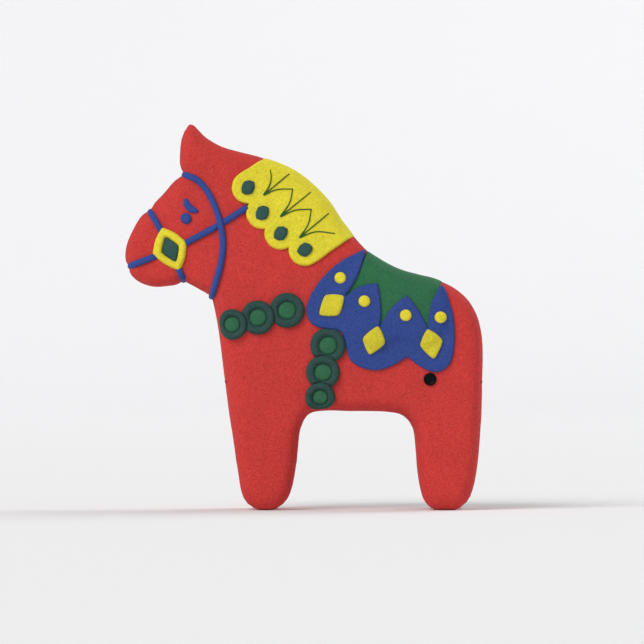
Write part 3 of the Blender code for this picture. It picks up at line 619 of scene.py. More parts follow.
def both_sides(name, vertices, faces, material, slot, node=None):
    """A left-hand piece and its mirror image."""
    flipped = [f[::-1] for f in faces]
    piece(f"left_{name}_felt", vertices, faces, material, [f"left_{node or name}"])
    piece(f"right_{name}_felt", vertices * TO_RIGHT, flipped, material, [f"right_{node or name}"])


def thickened(base, faces, height, follow=1.0):
    """A closed felt solid, from a little below a sheet to height above it.

    Height is measured at right angles to the sheet or, if follow is 0, straight out to the left.
    """
    normal = unit(normals_of(base, faces) * follow + LEFTWARDS * (1 - follow))
    count = len(base)
    directed = {(f[i], f[(i + 1) % 3]) for f in faces for i in range(3)}
    rim = [(a, b) for a, b in directed if (b, a) not in directed]
    solid = [*faces, *(faces + count)[:, ::-1], *([b, a, a + count, b + count] for a, b in rim)]
    return np.vstack([base + normal * height[:, None], base - normal * SINK]), solid


def cut_edge(distance, rounding=FELT_ROUND):
    """How the height of a felt piece falls off towards its cut edge."""
    return CUT_SHARE + (1 - CUT_SHARE) * quarter_round(distance, rounding)


def cut_rings(loop, rounding):
    """The outline moved in to where its rounded edge needs points."""
    return [inset(loop, rounding * share) for share in (0.12, 0.4, 0.8, 1.3)]


def side_sheet(loops, spacing, rounding):
    """Flat points and triangles of a felt piece, closely spaced at its cut edge, and depth from that edge."""
    grid = grid_inside(loops[0], spacing, rounding * 1.3 + 0.5 * spacing)
    at_edge = np.vstack(edge_rings((18, 32, 46, 60, 75)))
    at_edge = at_edge[depth_inside(at_edge, loops[0]) > rounding]
    inner = spread(np.vstack([*cut_rings(loops[0], rounding), grid, at_edge]), 0.09)
    for hole in loops[1:]:
        inner = inner[~is_inside(inner, hole)]
    flat, faces = fill(loops, inner)
    return flat, faces, np.min([nearest(flat, loop)[0] for loop in loops], axis=0)


def side_piece(name, flat, faces, depth, height, material, slot, node=None, follow=1.0):
    """A piece on each side, from a flat sheet, how far out it lies, and how high it stands there."""
    vertices, solid = thickened(laid(flat, depth), faces, height, follow)
    both_sides(name, vertices, solid, material, slot, node)


def padded_piece(name, under, padding, material, slot, size=1.0, step=0.35):
    """A felt piece that swells from its cut edge to the middle. size is relative to its CAD outline."""
    edge_height, dome, slope = padding
    loop = scaled(flat_outlines(f"left_{name}")[0], size)
    flat, faces, distance = side_sheet([curved(loop, step)], 0.6, slope)
    height = edge_height * cut_edge(distance, PADDED_ROUND) + dome * quarter_round(distance, slope)
    side_piece(name, flat, faces, under(flat), height, material, slot)


# ---- Materials ----


def new_material(name):
    """A material, its node tree and its shader."""
    made = bpy.data.materials.new(name)
    made.use_nodes = True
    return made, made.node_tree, made.node_tree.nodes["Principled BSDF"]


def feed(tree, node, inputs):
    """Gives a node's inputs their values, or links them to other nodes' outputs."""
    for name, value in inputs.items():
        if isinstance(value, bpy.types.NodeSocket):
            tree.links.new(value, node.inputs[name])
        else:
            node.inputs[name].default_value = value


def felt_material(name, colour, fibre=0.6, contrast=0.22, lint=0.026, bump=0.6, sheen=0.25):
    """Wool felt: matted fibres in slightly different shades, some with pale lint, and a soft sheen."""
    made, tree, shader = new_material(name)

    def output(kind, inputs, **settings):
        """The first output of a new node that can be used."""
        node = tree.nodes.new(kind)
        for setting, value in settings.items():
            setattr(node, setting, value)
        feed(tree, node, inputs)
        return next(socket for socket in node.outputs if socket.enabled)

    def wool(size, detail, twist):
        place = tree.nodes["Place"].outputs["Object"]
        scale = 1 / (size * MM)
        inputs = {"Vector": place, "Scale": scale, "Detail": detail, "Roughness": 0.62, "Distortion": twist}
        return output("ShaderNodeTexNoise", inputs)

    def ranged(value, low, high):
        """The noise, which is mostly 0.3 to 0.7, stretched to low to high."""
        inputs = {"Value": value, "From Min": 0.3, "From Max": 0.7, "To Min": low, "To Max": high}
        return output("ShaderNodeMapRange", inputs)

    def mixed(kind, factor, first, second):
        inputs = {"Factor": factor, "A": first, "B": second}
        return output("ShaderNodeMix", inputs, data_type="RGBA", blend_type=kind)

    tree.nodes.new("ShaderNodeTexCoord").name = "Place"
    fibres = wool(fibre, 6, 1.2)
    mottle = wool(fibre * 4, 3, 0.4)
    patches = wool(fibre * 30, 2, 0.2)
    dark = (*[c * (1 - contrast) for c in colour], 1)
    light = (*[min(1, c * (1 + contrast) + lint) for c in colour], 1)
    shade = mixed("MIX", ranged(fibres, 0, 1), dark, light)
    shade = mixed("MULTIPLY", 1.0, shade, ranged(mottle, 0.95, 1.05))
    shade = mixed("MULTIPLY", 1.0, shade, ranged(patches, 0.96, 1.04))
    relief = {"Height": fibres, "Strength": bump, "Distance": 0.25 * fibre * MM}
    feed(tree, shader, {
        "Base Color": shade,
        "Normal": output("ShaderNodeBump", relief),
        "Roughness": ranged(mottle, 0.82, 0.98),
        "Specular IOR Level": 0.15,
        "Sheen Weight": sheen,
        "Sheen Roughness": 0.45,
        "Sheen Tint": (*[min(1, c * 1.6 + 0.12) for c in colour], 1),
    })
    return made


def button_material():
    """Black resin, faintly mottled and scuffed."""
    black = (0.002, 0.002, 0.002)
    made = felt_material("black_resin", black, fibre=1.2, contrast=0.2, lint=0.002, bump=0.05, sheen=0.0)
    shader = made.node_tree.nodes["Principled BSDF"]
    unevenness = shader.inputs["Roughness"].links[0].from_node
    feed(made.node_tree, unevenness, {"To Min": 0.4, "To Max": 0.55})
    feed(made.node_tree, shader, {"Specular IOR Level": 0.08})
    return made


def paper_material():
    made, tree, shader = new_material("pale_paper")
    feed(tree, shader, {"Base Color": (0.93, 0.93, 0.94, 1), "Roughness": 0.9})
    return made


RED = (0.553, 0.0325, 0.0275)
RED_FELT = felt_material("red_wool_felt", RED)
RED_THREAD = felt_material("red_thread", tuple(0.85 * c for c in RED), fibre=0.25)
YELLOW_FELT = felt_material("yellow_wool_felt", (0.74, 0.64, 0.026))
DIAMOND_FELT = felt_material("diamond_wool_felt", (0.63, 0.545, 0.022))
BLUE_FELT = felt_material("blue_wool_felt", (0.021, 0.054, 0.252))
BLUE_CORD = felt_material("blue_felted_cord", (0.025, 0.06, 0.28), fibre=0.35)
GREEN_FELT = felt_material("green_wool_felt", (0.0185, 0.136, 0.053))
TEAL_FELT = felt_material("teal_wool_felt", (0.0205, 0.077, 0.066))
# Teal felt of the ring rims, darkened to about 0.78 of the lozenges' teal. This is painted shade, standing in
# for the shading on the raised rims.
RING_RIM_PAINTED_SHADE_FELT = felt_material("ring_wool_felt_painted_shade", (0.016, 0.06, 0.051))
RING_CENTRE_FELT = felt_material("ring_centre_wool_felt", (0.02, 0.127, 0.056))
GREEN_THREAD = felt_material("green_thread", (0.018, 0.105, 0.016), fibre=0.2)
FIBRE_FILL = felt_material("fibre_filling", (0.75, 0.72, 0.65), fibre=1.0, contrast=0.3, bump=1.0)
BUTTON_RESIN = button_material()


# ---- Body ----


def seam_relief(from_seam, along):
    """How far the felt is drawn in near a seam: a valley along it, and a pucker at each stitch."""
    valley = SEAM_DEPTH * np.exp(-((from_seam / SEAM_HALF) ** 2))
    pulled = PUCKER * (0.5 + 0.5 * np.cos(2 * math.pi * along / STITCH_PITCH))
    return -valley - pulled * np.exp(-(((from_seam - PUCKER_AT) / PUCKER_HALF) ** 2))


def side_of_body():
    """The left side's points, those on the seam first, and triangles."""
    rings = edge_rings((6, 12, 19, 27, 36, 46, 58, 72, 90))
    inner = spread(np.vstack([*rings, grid_inside(OUTLINE, 2.0, EDGE_ROUND + 1)]), 0.028)
    flat, faces = fill([OUTLINE], inner)
    depth, along = nearest(flat, OUTLINE)
    depth[: len(OUTLINE)] = 0
    side = laid(flat, skin(flat))
    angle = np.arccos(1 - np.clip(depth / EDGE_ROUND, 0, 1))
    from_seam = np.where(depth < EDGE_ROUND, EDGE_ROUND * angle, np.inf)
    normal = normals_of(side, faces)
    normal[: len(OUTLINE)] = laid(OUTWARD, 0 * OUTWARD[:, 0])
    return side + normal * seam_relief(from_seam, along)[:, None], faces


def body_shell():
    """The closed body before the legs and ears are parted: left side, right side and the band between."""
    left, faces = side_of_body()
    rim, count = len(OUTLINE), len(left)
    near = np.array([0.03, 0.065, 0.11, 0.17, 0.26, 0.4, 0.6, 0.8])
    half = half_thickness(OUTLINE) - EDGE_ROUND
    to_split = np.abs(OUTLINE[:, 1] - GUSSET_SPLIT)
    strips = []
    for share in (*(1 - near), 0.0, *(near[::-1] - 1)):
        depth = half * share
        from_seam = half - np.abs(depth)
        relief = seam_relief(from_seam, walked(OUTLINE))
        relief += GUSSET_SEAM_SHARE * seam_relief(to_split, -depth) * smoothstep(0, 2, from_seam)
        strips.append(laid(OUTLINE + OUTWARD * relief[:, None], depth))
    band = between(across_rows(rim, count, len(strips)))
    return np.vstack([left, left * TO_RIGHT, *strips]), faces, (faces + count)[:, ::-1], band


def lengthwise_cutter(section, x_low, x_high, step=2.0):
    """A closed cutter along the horse, from a section in the Y-Z plane, divided into small faces."""
    section = np.array(section, float)
    fine = []
    for a, b in zip(section, np.roll(section, -1, axis=0)):
        pieces = max(1, round(np.linalg.norm(b - a) / step))
        fine += [a + (b - a) * i / pieces for i in range(pieces)]
    xs = np.linspace(x_low, x_high, max(2, round((x_high - x_low) / step)))
    return lofted(np.array([[(x, y, z) for y, z in fine] for x in xs]))


PANELS = ["left_side_panel", "right_side_panel", "top_gusset", "underbody_gusset"]
LEFT, RIGHT, BAND, CUT = range(4)


def marked_object(name, vertices, faces, marks):
    """An object whose faces carry a mark: LEFT, RIGHT, BAND or CUT."""
    mesh = mesh_of(name, vertices, faces, *[RED_FELT] * 4)
    mesh.polygons.foreach_set("material_index", marks)
    face_outwards(mesh)
    return linked(name, mesh)


def parted_body():
    """The body mesh with the gap between the legs and the notch between the ears, softened at their edges."""
    vertices, left, right, band = body_shell()
    marks = [LEFT] * len(left) + [RIGHT] * len(right) + [BAND] * len(band)
    whole = marked_object("body", vertices, [*left, *right, *band], marks)
    half, top = LEG_SLOT_HALF, LEG_SLOT_TOP
    arch = [(half * math.cos(a), top - half + half * math.sin(a)) for a in np.linspace(0, math.pi, 15)]
    slot = lengthwise_cutter([(half, -5.0), *arch, (-half, -5.0)], -90, 90)
    notch = [(-0.5, EAR_NOTCH_BOTTOM), (0.5, EAR_NOTCH_BOTTOM), (EAR_NOTCH_HALF, EAR_TIP)]
    notch += [(EAR_NOTCH_HALF, EAR_TIP + 9), (-EAR_NOTCH_HALF, EAR_TIP + 9), (-EAR_NOTCH_HALF, EAR_TIP)]
    for some, more in (slot, lengthwise_cutter(notch, -60, -28, 1.2)):
        cutter = marked_object("cutter", some, more, [CUT] * len(more))
        modifier = whole.modifiers.new("cut", "BOOLEAN")
        modifier.operation = "DIFFERENCE"
        modifier.solver = "EXACT"
        modifier.object = cutter
        mesh = bpy.data.meshes.new_from_object(whole.evaluated_get(bpy.context.evaluated_depsgraph_get()))
        whole.modifiers.clear()
        whole.data = mesh
        bpy.data.objects.remove(cutter)
    shape = bmesh.new()
    shape.from_mesh(whole.data)
    bpy.data.objects.remove(whole)
    soften_cuts(shape)
    return shape


def soften_cuts(shape):
    """Rounds the felt where the legs and ears were parted."""
    bmesh.ops.triangulate(shape, faces=[f for f in shape.faces if len(f.verts) > 4])
    cut_edges = [e for e in shape.edges if len({f.material_index == CUT for f in e.link_faces}) == 2]
    tree = tree_of([vertex.co for edge in cut_edges for vertex in edge.verts])
    near = {}
    for vertex in shape.verts:
        distance = tree.find(vertex.co)[2] / MM
        if distance < CUT_SOFTENING:
            near[vertex] = 1 - distance / CUT_SOFTENING
    for _ in range(SOFTENING_ROUNDS):
        moved = {}
        for vertex, weight in near.items():
            around = [e.other_vert(vertex).co for e in vertex.link_edges]
            middle = sum(around, Vector()) / len(around)
            moved[vertex] = vertex.co.lerp(middle, SOFTENING_SHARE * weight)
        for vertex, place in moved.items():
            vertex.co = place


def body():
    """Two sides and two gussets of red felt."""
    shape = parted_body()
    points = np.array([v.co for v in shape.verts]) / MM
    in_ears = np.maximum(points[:, 2] - EAR_NOTCH_BOTTOM, 0)
    points[:, 2] += in_ears * ((EAR_TIP - EAR_NOTCH_BOTTOM) / in_ears.max() - 1)
    for vertex, place in zip(shape.verts, crowned(points) * MM):
        vertex.co = place
    panel_of = []
    for face in shape.faces:
        is_low = face.calc_center_median().z < GUSSET_SPLIT * MM
        panel_of.append(BAND + is_low if face.material_index >= BAND else face.material_index)
    for number, node in enumerate(PANELS):
        part = shape.copy()
        others = [face for face, panel in zip(part.faces, panel_of) if panel != number]
        bmesh.ops.delete(part, geom=others, context="FACES")
        for face in part.faces:
            face.material_index = 0
        mesh = bpy.data.meshes.new(node + "_felt")
        part.to_mesh(mesh)
        part.free()
        mesh.materials.append(RED_FELT)
        felt = worn(node + "_felt", mesh, [node]).modifiers.new("felt", "SOLIDIFY")
        felt.thickness = SKIN * MM
        felt.offset = -1
    shape.free()


def filling():
    """Loose fibre, drawn in from the CAD filling so that the felt covers it."""
    corners, faces = corners_and_faces("stuffing")
    made = piece("fibre_filling", corners, faces, FIBRE_FILL, ["stuffing"])
    finer = made.modifiers.new("finer", "REMESH")
    finer.mode = "VOXEL"
    finer.voxel_size = 2.5 * MM
    tufts = bpy.data.textures.new("tufts", "CLOUDS")
    tufts.noise_scale = 6 * MM
    lumpy = made.modifiers.new("lumpy", "DISPLACE")
    lumpy.texture = tufts
    lumpy.strength = 1.2 * MM
    lumpy.mid_level = 1.0


def stitch(path, normal):
    """One stitch, pulled tight into the felt, that dives in at both ends."""
    depth = STITCH_SUNK + STITCH_DIVE * np.abs(STITCH_STEPS) ** 3
    return tube(path - normal * depth[:, None], normal, STITCH_RADIUS, sides=6)


def seam_stitches():
    """Whip stitches over the seams between the sides and the gussets."""
    stitches = []
    reach = STITCH_STEPS * STITCH_REACH
    turn = np.clip(reach, 0, None) / EDGE_ROUND
    for number in range(int(walked(looped(OUTLINE))[-1] / STITCH_PITCH)):
        along = (number + 0.5 + STITCH_SLANT * STITCH_STEPS) * STITCH_PITCH
        at, out = on_outline(along)
        depth = half_thickness(at) - EDGE_ROUND + EDGE_ROUND * np.sin(turn) + np.minimum(reach, 0)
        flat = at - out * EDGE_ROUND * (1 - np.cos(turn))[:, None]
        normal = laid(out * np.cos(turn)[:, None], np.sin(turn))
        stitches.append(stitch(laid(flat, depth), normal))
    vertices, faces = joined(stitches)
    piece("left_seam_stitches", vertices, faces, RED_THREAD)
    piece("right_seam_stitches", vertices * TO_RIGHT, [f[::-1] for f in faces], RED_THREAD)


def gusset_stitches():
    """Whip stitches over the seams between the top and the underbody gusset, at chest and rump."""
    stitches = []
    rim, along = looped(OUTLINE), walked(looped(OUTLINE))
    below = rim[:, 1] < GUSSET_SPLIT
    for index in np.flatnonzero(below[1:] != below[:-1]):
        climb = (rim[index + 1, 1] - rim[index, 1]) / (along[index + 1] - along[index])
        seam = along[index] + (GUSSET_SPLIT - rim[index, 1]) / climb
        at, out = on_outline(seam + STITCH_STEPS * STITCH_REACH)
        half = float(half_thickness(at).mean()) - EDGE_ROUND
        count = round((2 * half - STITCH_PITCH) / STITCH_PITCH)
        for number in range(count):
            across = ((count - 1) / 2 - number - STITCH_SLANT * STITCH_STEPS) * STITCH_PITCH
            stitches.append(stitch(laid(at, across), laid(out, 0 * across)))
    vertices, faces = joined(stitches)
    piece("gusset_seam_stitches", vertices, faces, RED_THREAD)


# ---- Mane and saddle ----


def crest_and_edge(loop):
    """A draped piece's outline in two: where it folds over the horse's back, and its cut edge on the side."""
    on_side = depth_inside(loop, OUTLINE) > 0.15
    first = next(i for i in range(len(loop)) if on_side[i] and not on_side[i - 1])
    edge = np.roll(loop, -first, axis=0)[: int(on_side.sum())]
    begin, end = (int(np.argmin(np.linalg.norm(OUTLINE - p, axis=1))) for p in (edge[-1], edge[0]))
    count = len(OUTLINE)
    crest = OUTLINE[[(begin + i) % count for i in range((end - begin) % count + 1)]]
    return crest, edge[nearest(edge, crest, closed=False)[0] > 0.35]


def draped(node, thickness, material):
    """A felt sheet folded over the horse's back, cut to its CAD node's outline."""
    crest, edge = crest_and_edge(curved(flat_outlines(node)[0], 0.6))
    region = np.vstack([crest, edge])
    rings = cut_rings(region, FELT_ROUND) + edge_rings((10, 20, 32, 46, 60, 75, 90))
    inner = np.vstack([*rings, grid_inside(region, 1.6, 2.0)])
    flat, faces = fill([region], spread(inner[depth_inside(inner, region) > 0.06], 0.07))
    left = laid(flat, skin(flat))
    half = half_thickness(crest) - EDGE_ROUND
    strips = [laid(crest, -half * share) for share in np.linspace(-1, 1, 15)[1:-1]]
    base = np.vstack([left, left * TO_RIGHT, *strips])

    band = between(across_rows(len(crest), len(flat), len(strips)), closed=False)
    band = [[q[0], *pair] for q in band for pair in (q[1:3], q[2:4])]
    sheet = np.vstack([faces, (faces + len(flat))[:, ::-1], band])

    to_cut = nearest(flat, np.vstack([crest[-1:], edge, crest[:1]]), closed=False)[0]
    to_ends = np.minimum(walked(crest), walked(crest)[-1] - walked(crest))
    distance = np.concatenate([to_cut, to_cut, *[to_ends] * len(strips)])
    on_crest = 1 - smoothstep(0, 4, nearest(base[:, [0, 2]], crest, closed=False)[0])
    drawn_thin = 1 - on_crest * (1 - CREST_THIN * (0.5 + 0.5 * smoothstep(0, 6, distance)))
    uneven = 1 + 0.06 * lumps(base[:, [0, 2]], 3.0, 7.7)
    vertices, solid = thickened(base, sheet, thickness * drawn_thin * cut_edge(distance) * uneven)
    piece(node + "_felt", vertices, solid, material, [node])


def mane():
    draped("mane", MANE_FELT, YELLOW_FELT)
    for number in range(1, 5):
        padded_piece(f"mane_lozenge_{number}", on_mane, LOZENGE_PADDING, TEAL_FELT, "teal_felt")
    mane_stitching()


def mane_stitching():
    """Strokes of green thread, thickest at the knots they start from."""
    low, _ = box_mm("left_mane_stitching")
    strokes = []
    for stroke in STROKES:
        flat = curved(np.array(stroke) + low[[0, 2]], 0.5, closed=False)
        share = np.linspace(0, 1, len(flat))
        radius = THREAD_RADIUS + (KNOT_RADIUS - THREAD_RADIUS) * np.exp(-((share * len(flat) / 6) ** 2))
        lift = 0.12 + 0.1 * np.sin(share * math.pi)
        strokes.append(tube(laid(flat, on_mane(flat) + lift), LEFTWARDS, radius, sides=8))
    both_sides("mane_stitching", *joined(strokes), GREEN_THREAD, "green_thread")


def saddle():
    draped("saddle_pad", PAD_FELT, GREEN_FELT)
    loops = [curved(loop, 0.6) for loop in flat_outlines("left_saddle_skirt")]
    flat, faces, distance = side_sheet(loops, 1.4, FELT_ROUND)
    height = SKIRT_FELT * cut_edge(distance) * (1 + 0.05 * lumps(flat, 2.2, 12))
    side_piece("saddle_skirt", flat, faces, under_skirt(flat), height, BLUE_FELT, "blue_felt")
    for number in range(1, 4):
        padded_piece(f"saddle_diamond_{number}", on_skirt, DIAMOND_PADDING, DIAMOND_FELT, "yellow_felt")
    for number in range(1, 5):
        padded_piece(f"saddle_dot_{number}", on_skirt, DOT_PADDING, YELLOW_FELT, "yellow_felt")


# ---- Rings ----


def circle_through(a, b, c):
    """Centre and radius of the circle through three points."""
    centre = np.linalg.solve(2 * np.array([b - a, c - a]), [b @ b - a @ a, c @ c - a @ a])
    return centre, float(np.linalg.norm(a - centre))


def round_part(loop):
    """Centre and radius of the circle that most corners of an outline lie on."""
    best, most = None, 0
    for a, b, c in combinations(loop, 3):
        if abs(np.linalg.det([b - a, c - a])) > 1.0:
            centre, radius = circle_through(a, b, c)
            on_it = int((np.abs(np.linalg.norm(loop - centre, axis=1) - radius) < 0.02).sum())
            if on_it > most:
                best, most = (centre, radius), on_it
    return best


RING_CIRCLES = {name: round_part(flat_outlines(f"left_{name}")[0]) for chain in RING_CHAINS for name in chain}


def disc(centre, radius, shares):
    """Rings of points round a centre, the outermost first."""
    return [centre + radius * share * directions(max(1, int(60 * share))) for share in shares]


def kept_inside(points, margin):
    """The points, with those nearer than margin to the body's outline moved inwards."""
    depth, place = from_outline(points, OUTLINE)
    return points - on_outline(place)[1] * np.clip(margin - depth, 0, None)[:, None]


def ring_rim(centre, radius):
    """Flat points, triangles and heights of a ring's raised rim, with the groove inside it."""
    rings = disc(centre, radius, [1.0, 0.985, 0.95, 0.9, 0.84, 0.77, 0.7, 0.64, 0.58, 0.52, 0.46, 0.4])
    flat, faces = fill([rings[0], rings[-1]], np.vstack(rings[1:-1]))
    share = np.linalg.norm(flat - centre, axis=1) / radius
    rise = quarter_round(RIM_HALF - np.abs(share - RIM_AT), RIM_HALF)
    height = GROOVE_HEIGHT + (RIM_HEIGHT - GROOVE_HEIGHT) * rise
    return kept_inside(flat, RING_MARGIN), faces, height * cut_edge(radius * (1 - share), RING_ROUND)


def ring_centre(centre, radius):
    """Flat points, triangles and heights of the padded disc inside a ring."""
    rings = disc(centre, radius * CENTRE_SHARE, [1.0, 0.93, 0.8, 0.6, 0.35, 0.0])
    flat, faces = fill([rings[0]], np.vstack(rings[1:]))
    share = np.linalg.norm(flat - centre, axis=1) / (radius * CENTRE_SHARE)
    return flat, faces, CENTRE_EDGE + CENTRE_DOME * quarter_round(1 - share, 1)


def ring(name, covers, beneath):
    """A padded ring. covers are outlines that lie on it, and beneath is a circle it lies on, or None."""
    # The rim's teal is darkened with painted shade. The centre's green is its own colour.
    for part, shape, felt in (("", ring_rim, RING_RIM_PAINTED_SHADE_FELT), ("_centre", ring_centre, RING_CENTRE_FELT)):
        flat, faces, height = shape(*RING_CIRCLES[name])
        for cover in covers:
            covered = smoothstep(-0.5, 0.5, depth_inside(flat, cover))
            height = height + (np.minimum(height, PRESSED) - height) * covered
        depth = skin(flat)
        if beneath:
            inside = beneath[1] - np.linalg.norm(flat - beneath[0], axis=1)
            depth = depth + PRESSED * smoothstep(-1, 1.5, inside)
        side_piece(name + part, flat, faces, depth, height, felt, "teal_felt", node=name, follow=0.25)


def ring_chains():
    """Two chains of rings. Each ring overlaps the next one, and the skirt overlaps the end of the girth."""
    skirt = curved(flat_outlines("left_saddle_skirt")[0], 1.0)
    for chain in RING_CHAINS:
        for above, name, below in zip([None, *chain[:-1]], chain, [*chain[1:], None]):
            covers = [skirt]
            if above:
                centre, radius = RING_CIRCLES[above]
                covers.append(centre + radius * directions(60))
            ring(name, covers, RING_CIRCLES.get(below))


# ---- Bridle ----


def cord_line(node, pivot, count=40):
    """The middle line of a cord on the left side, from slices of its CAD node that fan out from a pivot."""
    corners, faces = corners_and_faces(node)
    edges = {tuple(sorted((f[i], f[(i + 1) % 3]))) for f in faces for i in range(3)}
    starts, ends = (corners[[e[k] for e in edges]] for k in (0, 1))
    left = (starts[:, 1] < -CORD_BESIDE) & (ends[:, 1] < -CORD_BESIDE)
    starts, ends = starts[left][:, [0, 2]] - pivot, ends[left][:, [0, 2]] - pivot
    x, z = np.vstack([starts, ends]).T
    angles = np.arctan2(z, x)
    line = []
    for angle in np.linspace(angles.min() + 0.02, angles.max() - 0.02, count):
        ray = np.array([math.cos(angle), math.sin(angle)])
        side_a = starts[:, 1] * ray[0] - starts[:, 0] * ray[1]
        side_b = ends[:, 1] * ray[0] - ends[:, 0] * ray[1]
        crossing = side_a * side_b < 0
        share = (side_a / (side_a - side_b))[crossing][:, None]
        hits = starts[crossing] + share * (ends[crossing] - starts[crossing])
        reach = hits @ ray
        reach = reach[reach > 0]
        if len(reach) > 3:
            line.append(np.array(pivot) + ray * (reach.min() + reach.max()) / 2)
    line = smoothed(even(np.array(line), 0.3)[CUT_OFF:-CUT_OFF], 6, closed=False)
    steps = np.arange(1, CUT_OFF + 1)[:, None]
    before, after = (line[0] - line[6]) / 6, (line[-1] - line[-7]) / 6
    return np.vstack([line[0] + before * steps[::-1], line, line[-1] + after * steps])


def to_edge(line):
    """The line with its start carried on, or cut back, to where it leaves the body's outline."""
    longer = np.vstack([line[0] + unit(line[0] - line[3]) * np.arange(6, 0, -0.2)[:, None], line])
    outside = np.flatnonzero(depth_inside(longer[:40], OUTLINE) < 0)
    return longer[outside.max(initial=0) + 1 :]


def carried_on(line, distance):
    """The line with its end carried straight on."""
    return np.vstack([line, line[-1] + unit(line[-1] - line[-4]) * distance])


def cord_lift(flat):
    rise = smoothstep(0, 2.5, depth_inside(flat, OUTLINE))
    return CORD_LIFT_AT_EDGE + (CORD_LIFT - CORD_LIFT_AT_EDGE) * rise


def round_the_edge(line, lift):
    """Path and normals of a cord on the left side, from the seam at line[0] round the edge and on."""
    line = even(line, 0.25)
    angles = np.radians(np.arange(0, 90, 9))
    near = EDGE_ROUND * (1 - np.cos(angles))
    far = np.arange(EDGE_ROUND, walked(line)[-1], 0.8)
    flat = sampled(line, line, np.concatenate([near, far]))
    on_edge, on_side = flat[: len(near)], flat[len(near) :]
    out = unit(line[0] - line[12])
    edge_depth = half_thickness(on_edge) - EDGE_ROUND + EDGE_ROUND * np.sin(angles)
    edge_depth += bulge(on_edge) * smoothstep(0, 6, near)
    turn = np.concatenate([angles, np.full(len(far), math.pi / 2)])
    normal = laid(out * np.cos(turn)[:, None], np.sin(turn))
    path = laid(flat, np.concatenate([edge_depth, skin(on_side)]))
    return path + normal * lift(flat)[:, None], normal


def round_both_edges(line, lift):
    """The same for a cord that ends at the seam too."""
    middle = len(line) // 2
    first, first_normal = round_the_edge(line[: middle + 1], lift)
    second, second_normal = round_the_edge(line[: middle - 1 : -1], lift)
    return np.vstack([first, second[-2::-1]]), np.vstack([first_normal, second_normal[-2::-1]])


def across_band(start, normal, steps=14):
    """Path and normals of a cord's run from its start at the left seam to the right seam."""
    run = np.linspace(start, start * TO_RIGHT, steps)[1:-1]
    return run, np.tile(normal * [1, 0, 1], (len(run), 1))


def bridle_cord(name, left, normal, closed):
    """A cord from its left-hand path, across the band, down the right side and, if closed, back across."""
    begin, begin_normal = across_band(left[0], normal[0])
    path, normals = [left[::-1], begin, left * TO_RIGHT], [normal[::-1], begin_normal, normal * TO_RIGHT]
    if closed:
        end, end_normal = across_band(left[-1], normal[-1])
        path.append(end[::-1])
        normals.append(end_normal)
    vertices, faces = cord(smoothed(np.vstack(path), 3, closed), np.vstack(normals), closed)
    piece(name + "_cord", vertices, faces, BLUE_CORD, [name])


def cord(path, normals, closed=False, seed=1.0):
    """A slightly uneven cord."""
    radius = CORD_RADIUS * (1 + 0.03 * lumps(path[:, [0, 2]], 2.5, seed))
    return tube(path, normals, radius, closed=closed, flatten=CORD_FLATTEN)


def bridle():
    """Cords round the head that pass under the rosettes, and reins that pass under the throat lash."""
    rosette = curved(flat_outlines("left_rosette_frame")[0], 1.0)
    rein = cord_line("left_rein", (-45.0, 140.0))
    lash = cord_line("throat_lash", (-70.0, 112.0))
    noseband = cord_line("noseband", (-90.0, 95.0))
    strap = cord_line("mouth_strap", (-60.0, 80.0))

    def beside(flat, line):
        """1 on a cord's line, falling off to either side."""
        return np.exp(-((nearest(flat, line, closed=False)[0] / GIVE_WAY) ** 2))

    def over_rein(flat):
        return cord_lift(flat) + OVER_REIN * beside(flat, rein)

    def under_rosette(flat):
        return cord_lift(flat) - UNDER_ROSETTE * smoothstep(-0.5, 2.0, depth_inside(flat, rosette))

    def under_lash(flat):
        return under_rosette(flat) - UNDER_LASH * beside(flat, lash)

    for name, line, lift in (("throat_lash", lash, over_rein), ("noseband", noseband, under_rosette)):
        line = to_edge(to_edge(line)[::-1])[::-1]
        bridle_cord(name, *round_both_edges(line, lift), closed=True)
    strap = strap if strap[0, 0] < strap[-1, 0] else strap[::-1]
    strap = carried_on(to_edge(strap), TUCKED)
    bridle_cord("mouth_strap", *round_the_edge(strap, under_rosette), closed=False)

    line = even(carried_on(carried_on(rein, TUCKED)[::-1], TUCKED), 0.7)
    vertices, faces = cord(laid(line, skin(line) + under_lash(line)), LEFTWARDS, seed=4.0)
    both_sides("rein", vertices, faces, BLUE_CORD, "blue_cord")


def rosettes():
    """Padded diamond frames on the cheeks, with a recessed centre."""
    outer, centre = (flat_outlines(f"left_rosette_{part}")[0] for part in ("frame", "centre"))
    loops = [curved(loop, 0.4) for loop in (outer, scaled(centre, HOLE_TO_CENTRE))]
    edge_height, dome, slope = FRAME_PADDING
    flat, faces, distance = side_sheet(loops, 0.6, 0.9)
    height = edge_height * cut_edge(distance, FRAME_ROUND) + dome * quarter_round(distance, slope)
    side_piece("rosette_frame", flat, faces, skin(flat), height, YELLOW_FELT, "yellow_felt")
    padded_piece("rosette_centre", skin, CENTRE_PADDING, TEAL_FELT, "green_felt", FILLED, 0.4)


# ---- Face and button ----


def face():
    padded_piece("eye", skin, EYE_PADDING, BLUE_CORD, "blue_cord")
    padded_piece("brow", skin, BROW_PADDING, BLUE_CORD, "blue_cord")


def hip_buttons():
    low, high = box_mm("left_hip_button")
    centre, radius = (low + high)[[0, 2]] / 2, (high - low)[0] / 2
    shares, heights = zip(*BUTTON_PROFILE)
    rings = [centre + radius * share * directions(32 if share else 1) for share in shares[::-1]]
    flat, faces = fill([rings[0]], np.vstack(rings[1:]))
    height = np.interp(np.linalg.norm(flat - centre, axis=1) / radius, shares, heights)
    side_piece("hip_button", flat, faces, skin(flat), height, BUTTON_RESIN, "black_button")


# ---- Studio ----


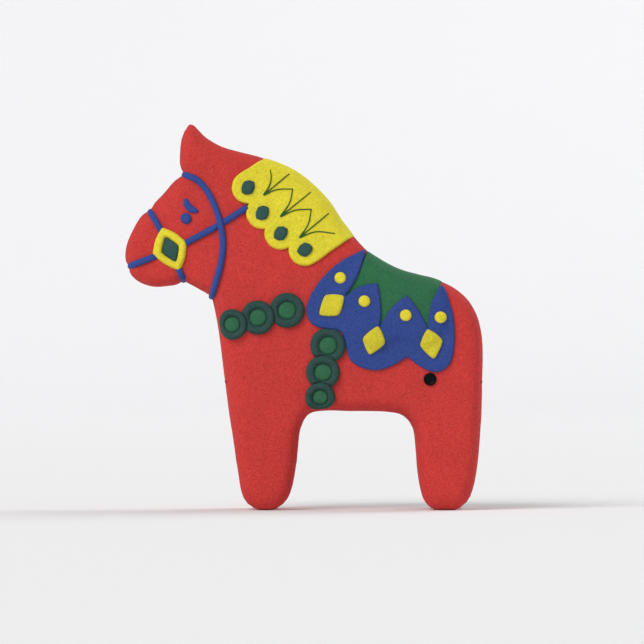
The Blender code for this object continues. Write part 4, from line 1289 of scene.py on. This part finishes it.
def studio_bowl():
    """A pale floor that curves up all round. It is drawn in metres."""
    flat, curve, height = 3.4, 0.7, 1.0
    bend = np.linspace(0, math.pi / 2, 13)[1:]
    profile = [(0.25, 0.0), (1.0, 0.0), (flat, 0.0)]
    profile += [(flat + curve * math.sin(a), curve - curve * math.cos(a)) for a in bend]
    profile.append((flat + curve, height))
    rounds = [[(radius * c, radius * s, z) for c, s in directions(96)] for radius, z in profile]
    vertices = np.vstack([*rounds, [(0, 0, 0)]]) / MM
    rows = np.arange(96 * len(profile)).reshape(-1, 96)
    middle = [[96 * len(profile), i, (i + 1) % 96] for i in range(96)]
    mesh = mesh_of("studio_bowl", vertices, [*middle, *between(rows)], paper_material())
    mesh.shade_smooth()
    linked("studio_bowl", mesh)


def soft_sun(name, come_from, spread_degrees, strength):
    """Even light from one direction, softened as by a large screen."""
    lamp = bpy.data.lights.new(name, "SUN")
    lamp.angle = math.radians(spread_degrees)
    lamp.energy = strength
    linked(name, lamp).rotation_euler = (-Vector(come_from)).to_track_quat("-Z", "Y").to_euler()


def studio():
    studio_bowl()
    soft_sun("key", (-0.7, -0.9, 0.95), 35, 1.84)
    soft_sun("fill", (0.8, 0.7, 0.9), 50, 1.16)
    world = bpy.data.worlds.new("studio")
    bpy.context.scene.world = world
    world.use_nodes = True
    background = world.node_tree.nodes["Background"]
    feed(world.node_tree, background, {"Color": (1.0, 1.0, 1.0, 1), "Strength": 0.29})
    bpy.context.scene.view_settings.view_transform = "Standard"


def camera():
    lens = bpy.data.cameras.new("camera")
    lens.sensor_width = 36.0
    lens.lens = 36.0 * VIEW_DISTANCE / VIEW_WIDTH
    lens.clip_start, lens.clip_end = 0.05, 20
    made = linked("camera", lens)
    made.location = Vector((VIEW_MIDDLE[0], VIEW_PLANE - VIEW_DISTANCE, VIEW_MIDDLE[1])) * MM
    made.rotation_euler = (math.pi / 2, 0.0, 0.0)
    bpy.context.scene.camera = made


# ---- Build ----

body()
filling()
seam_stitches()
gusset_stitches()
mane()
saddle()
ring_chains()
bridle()
rosettes()
face()
hip_buttons()
studio()
camera()
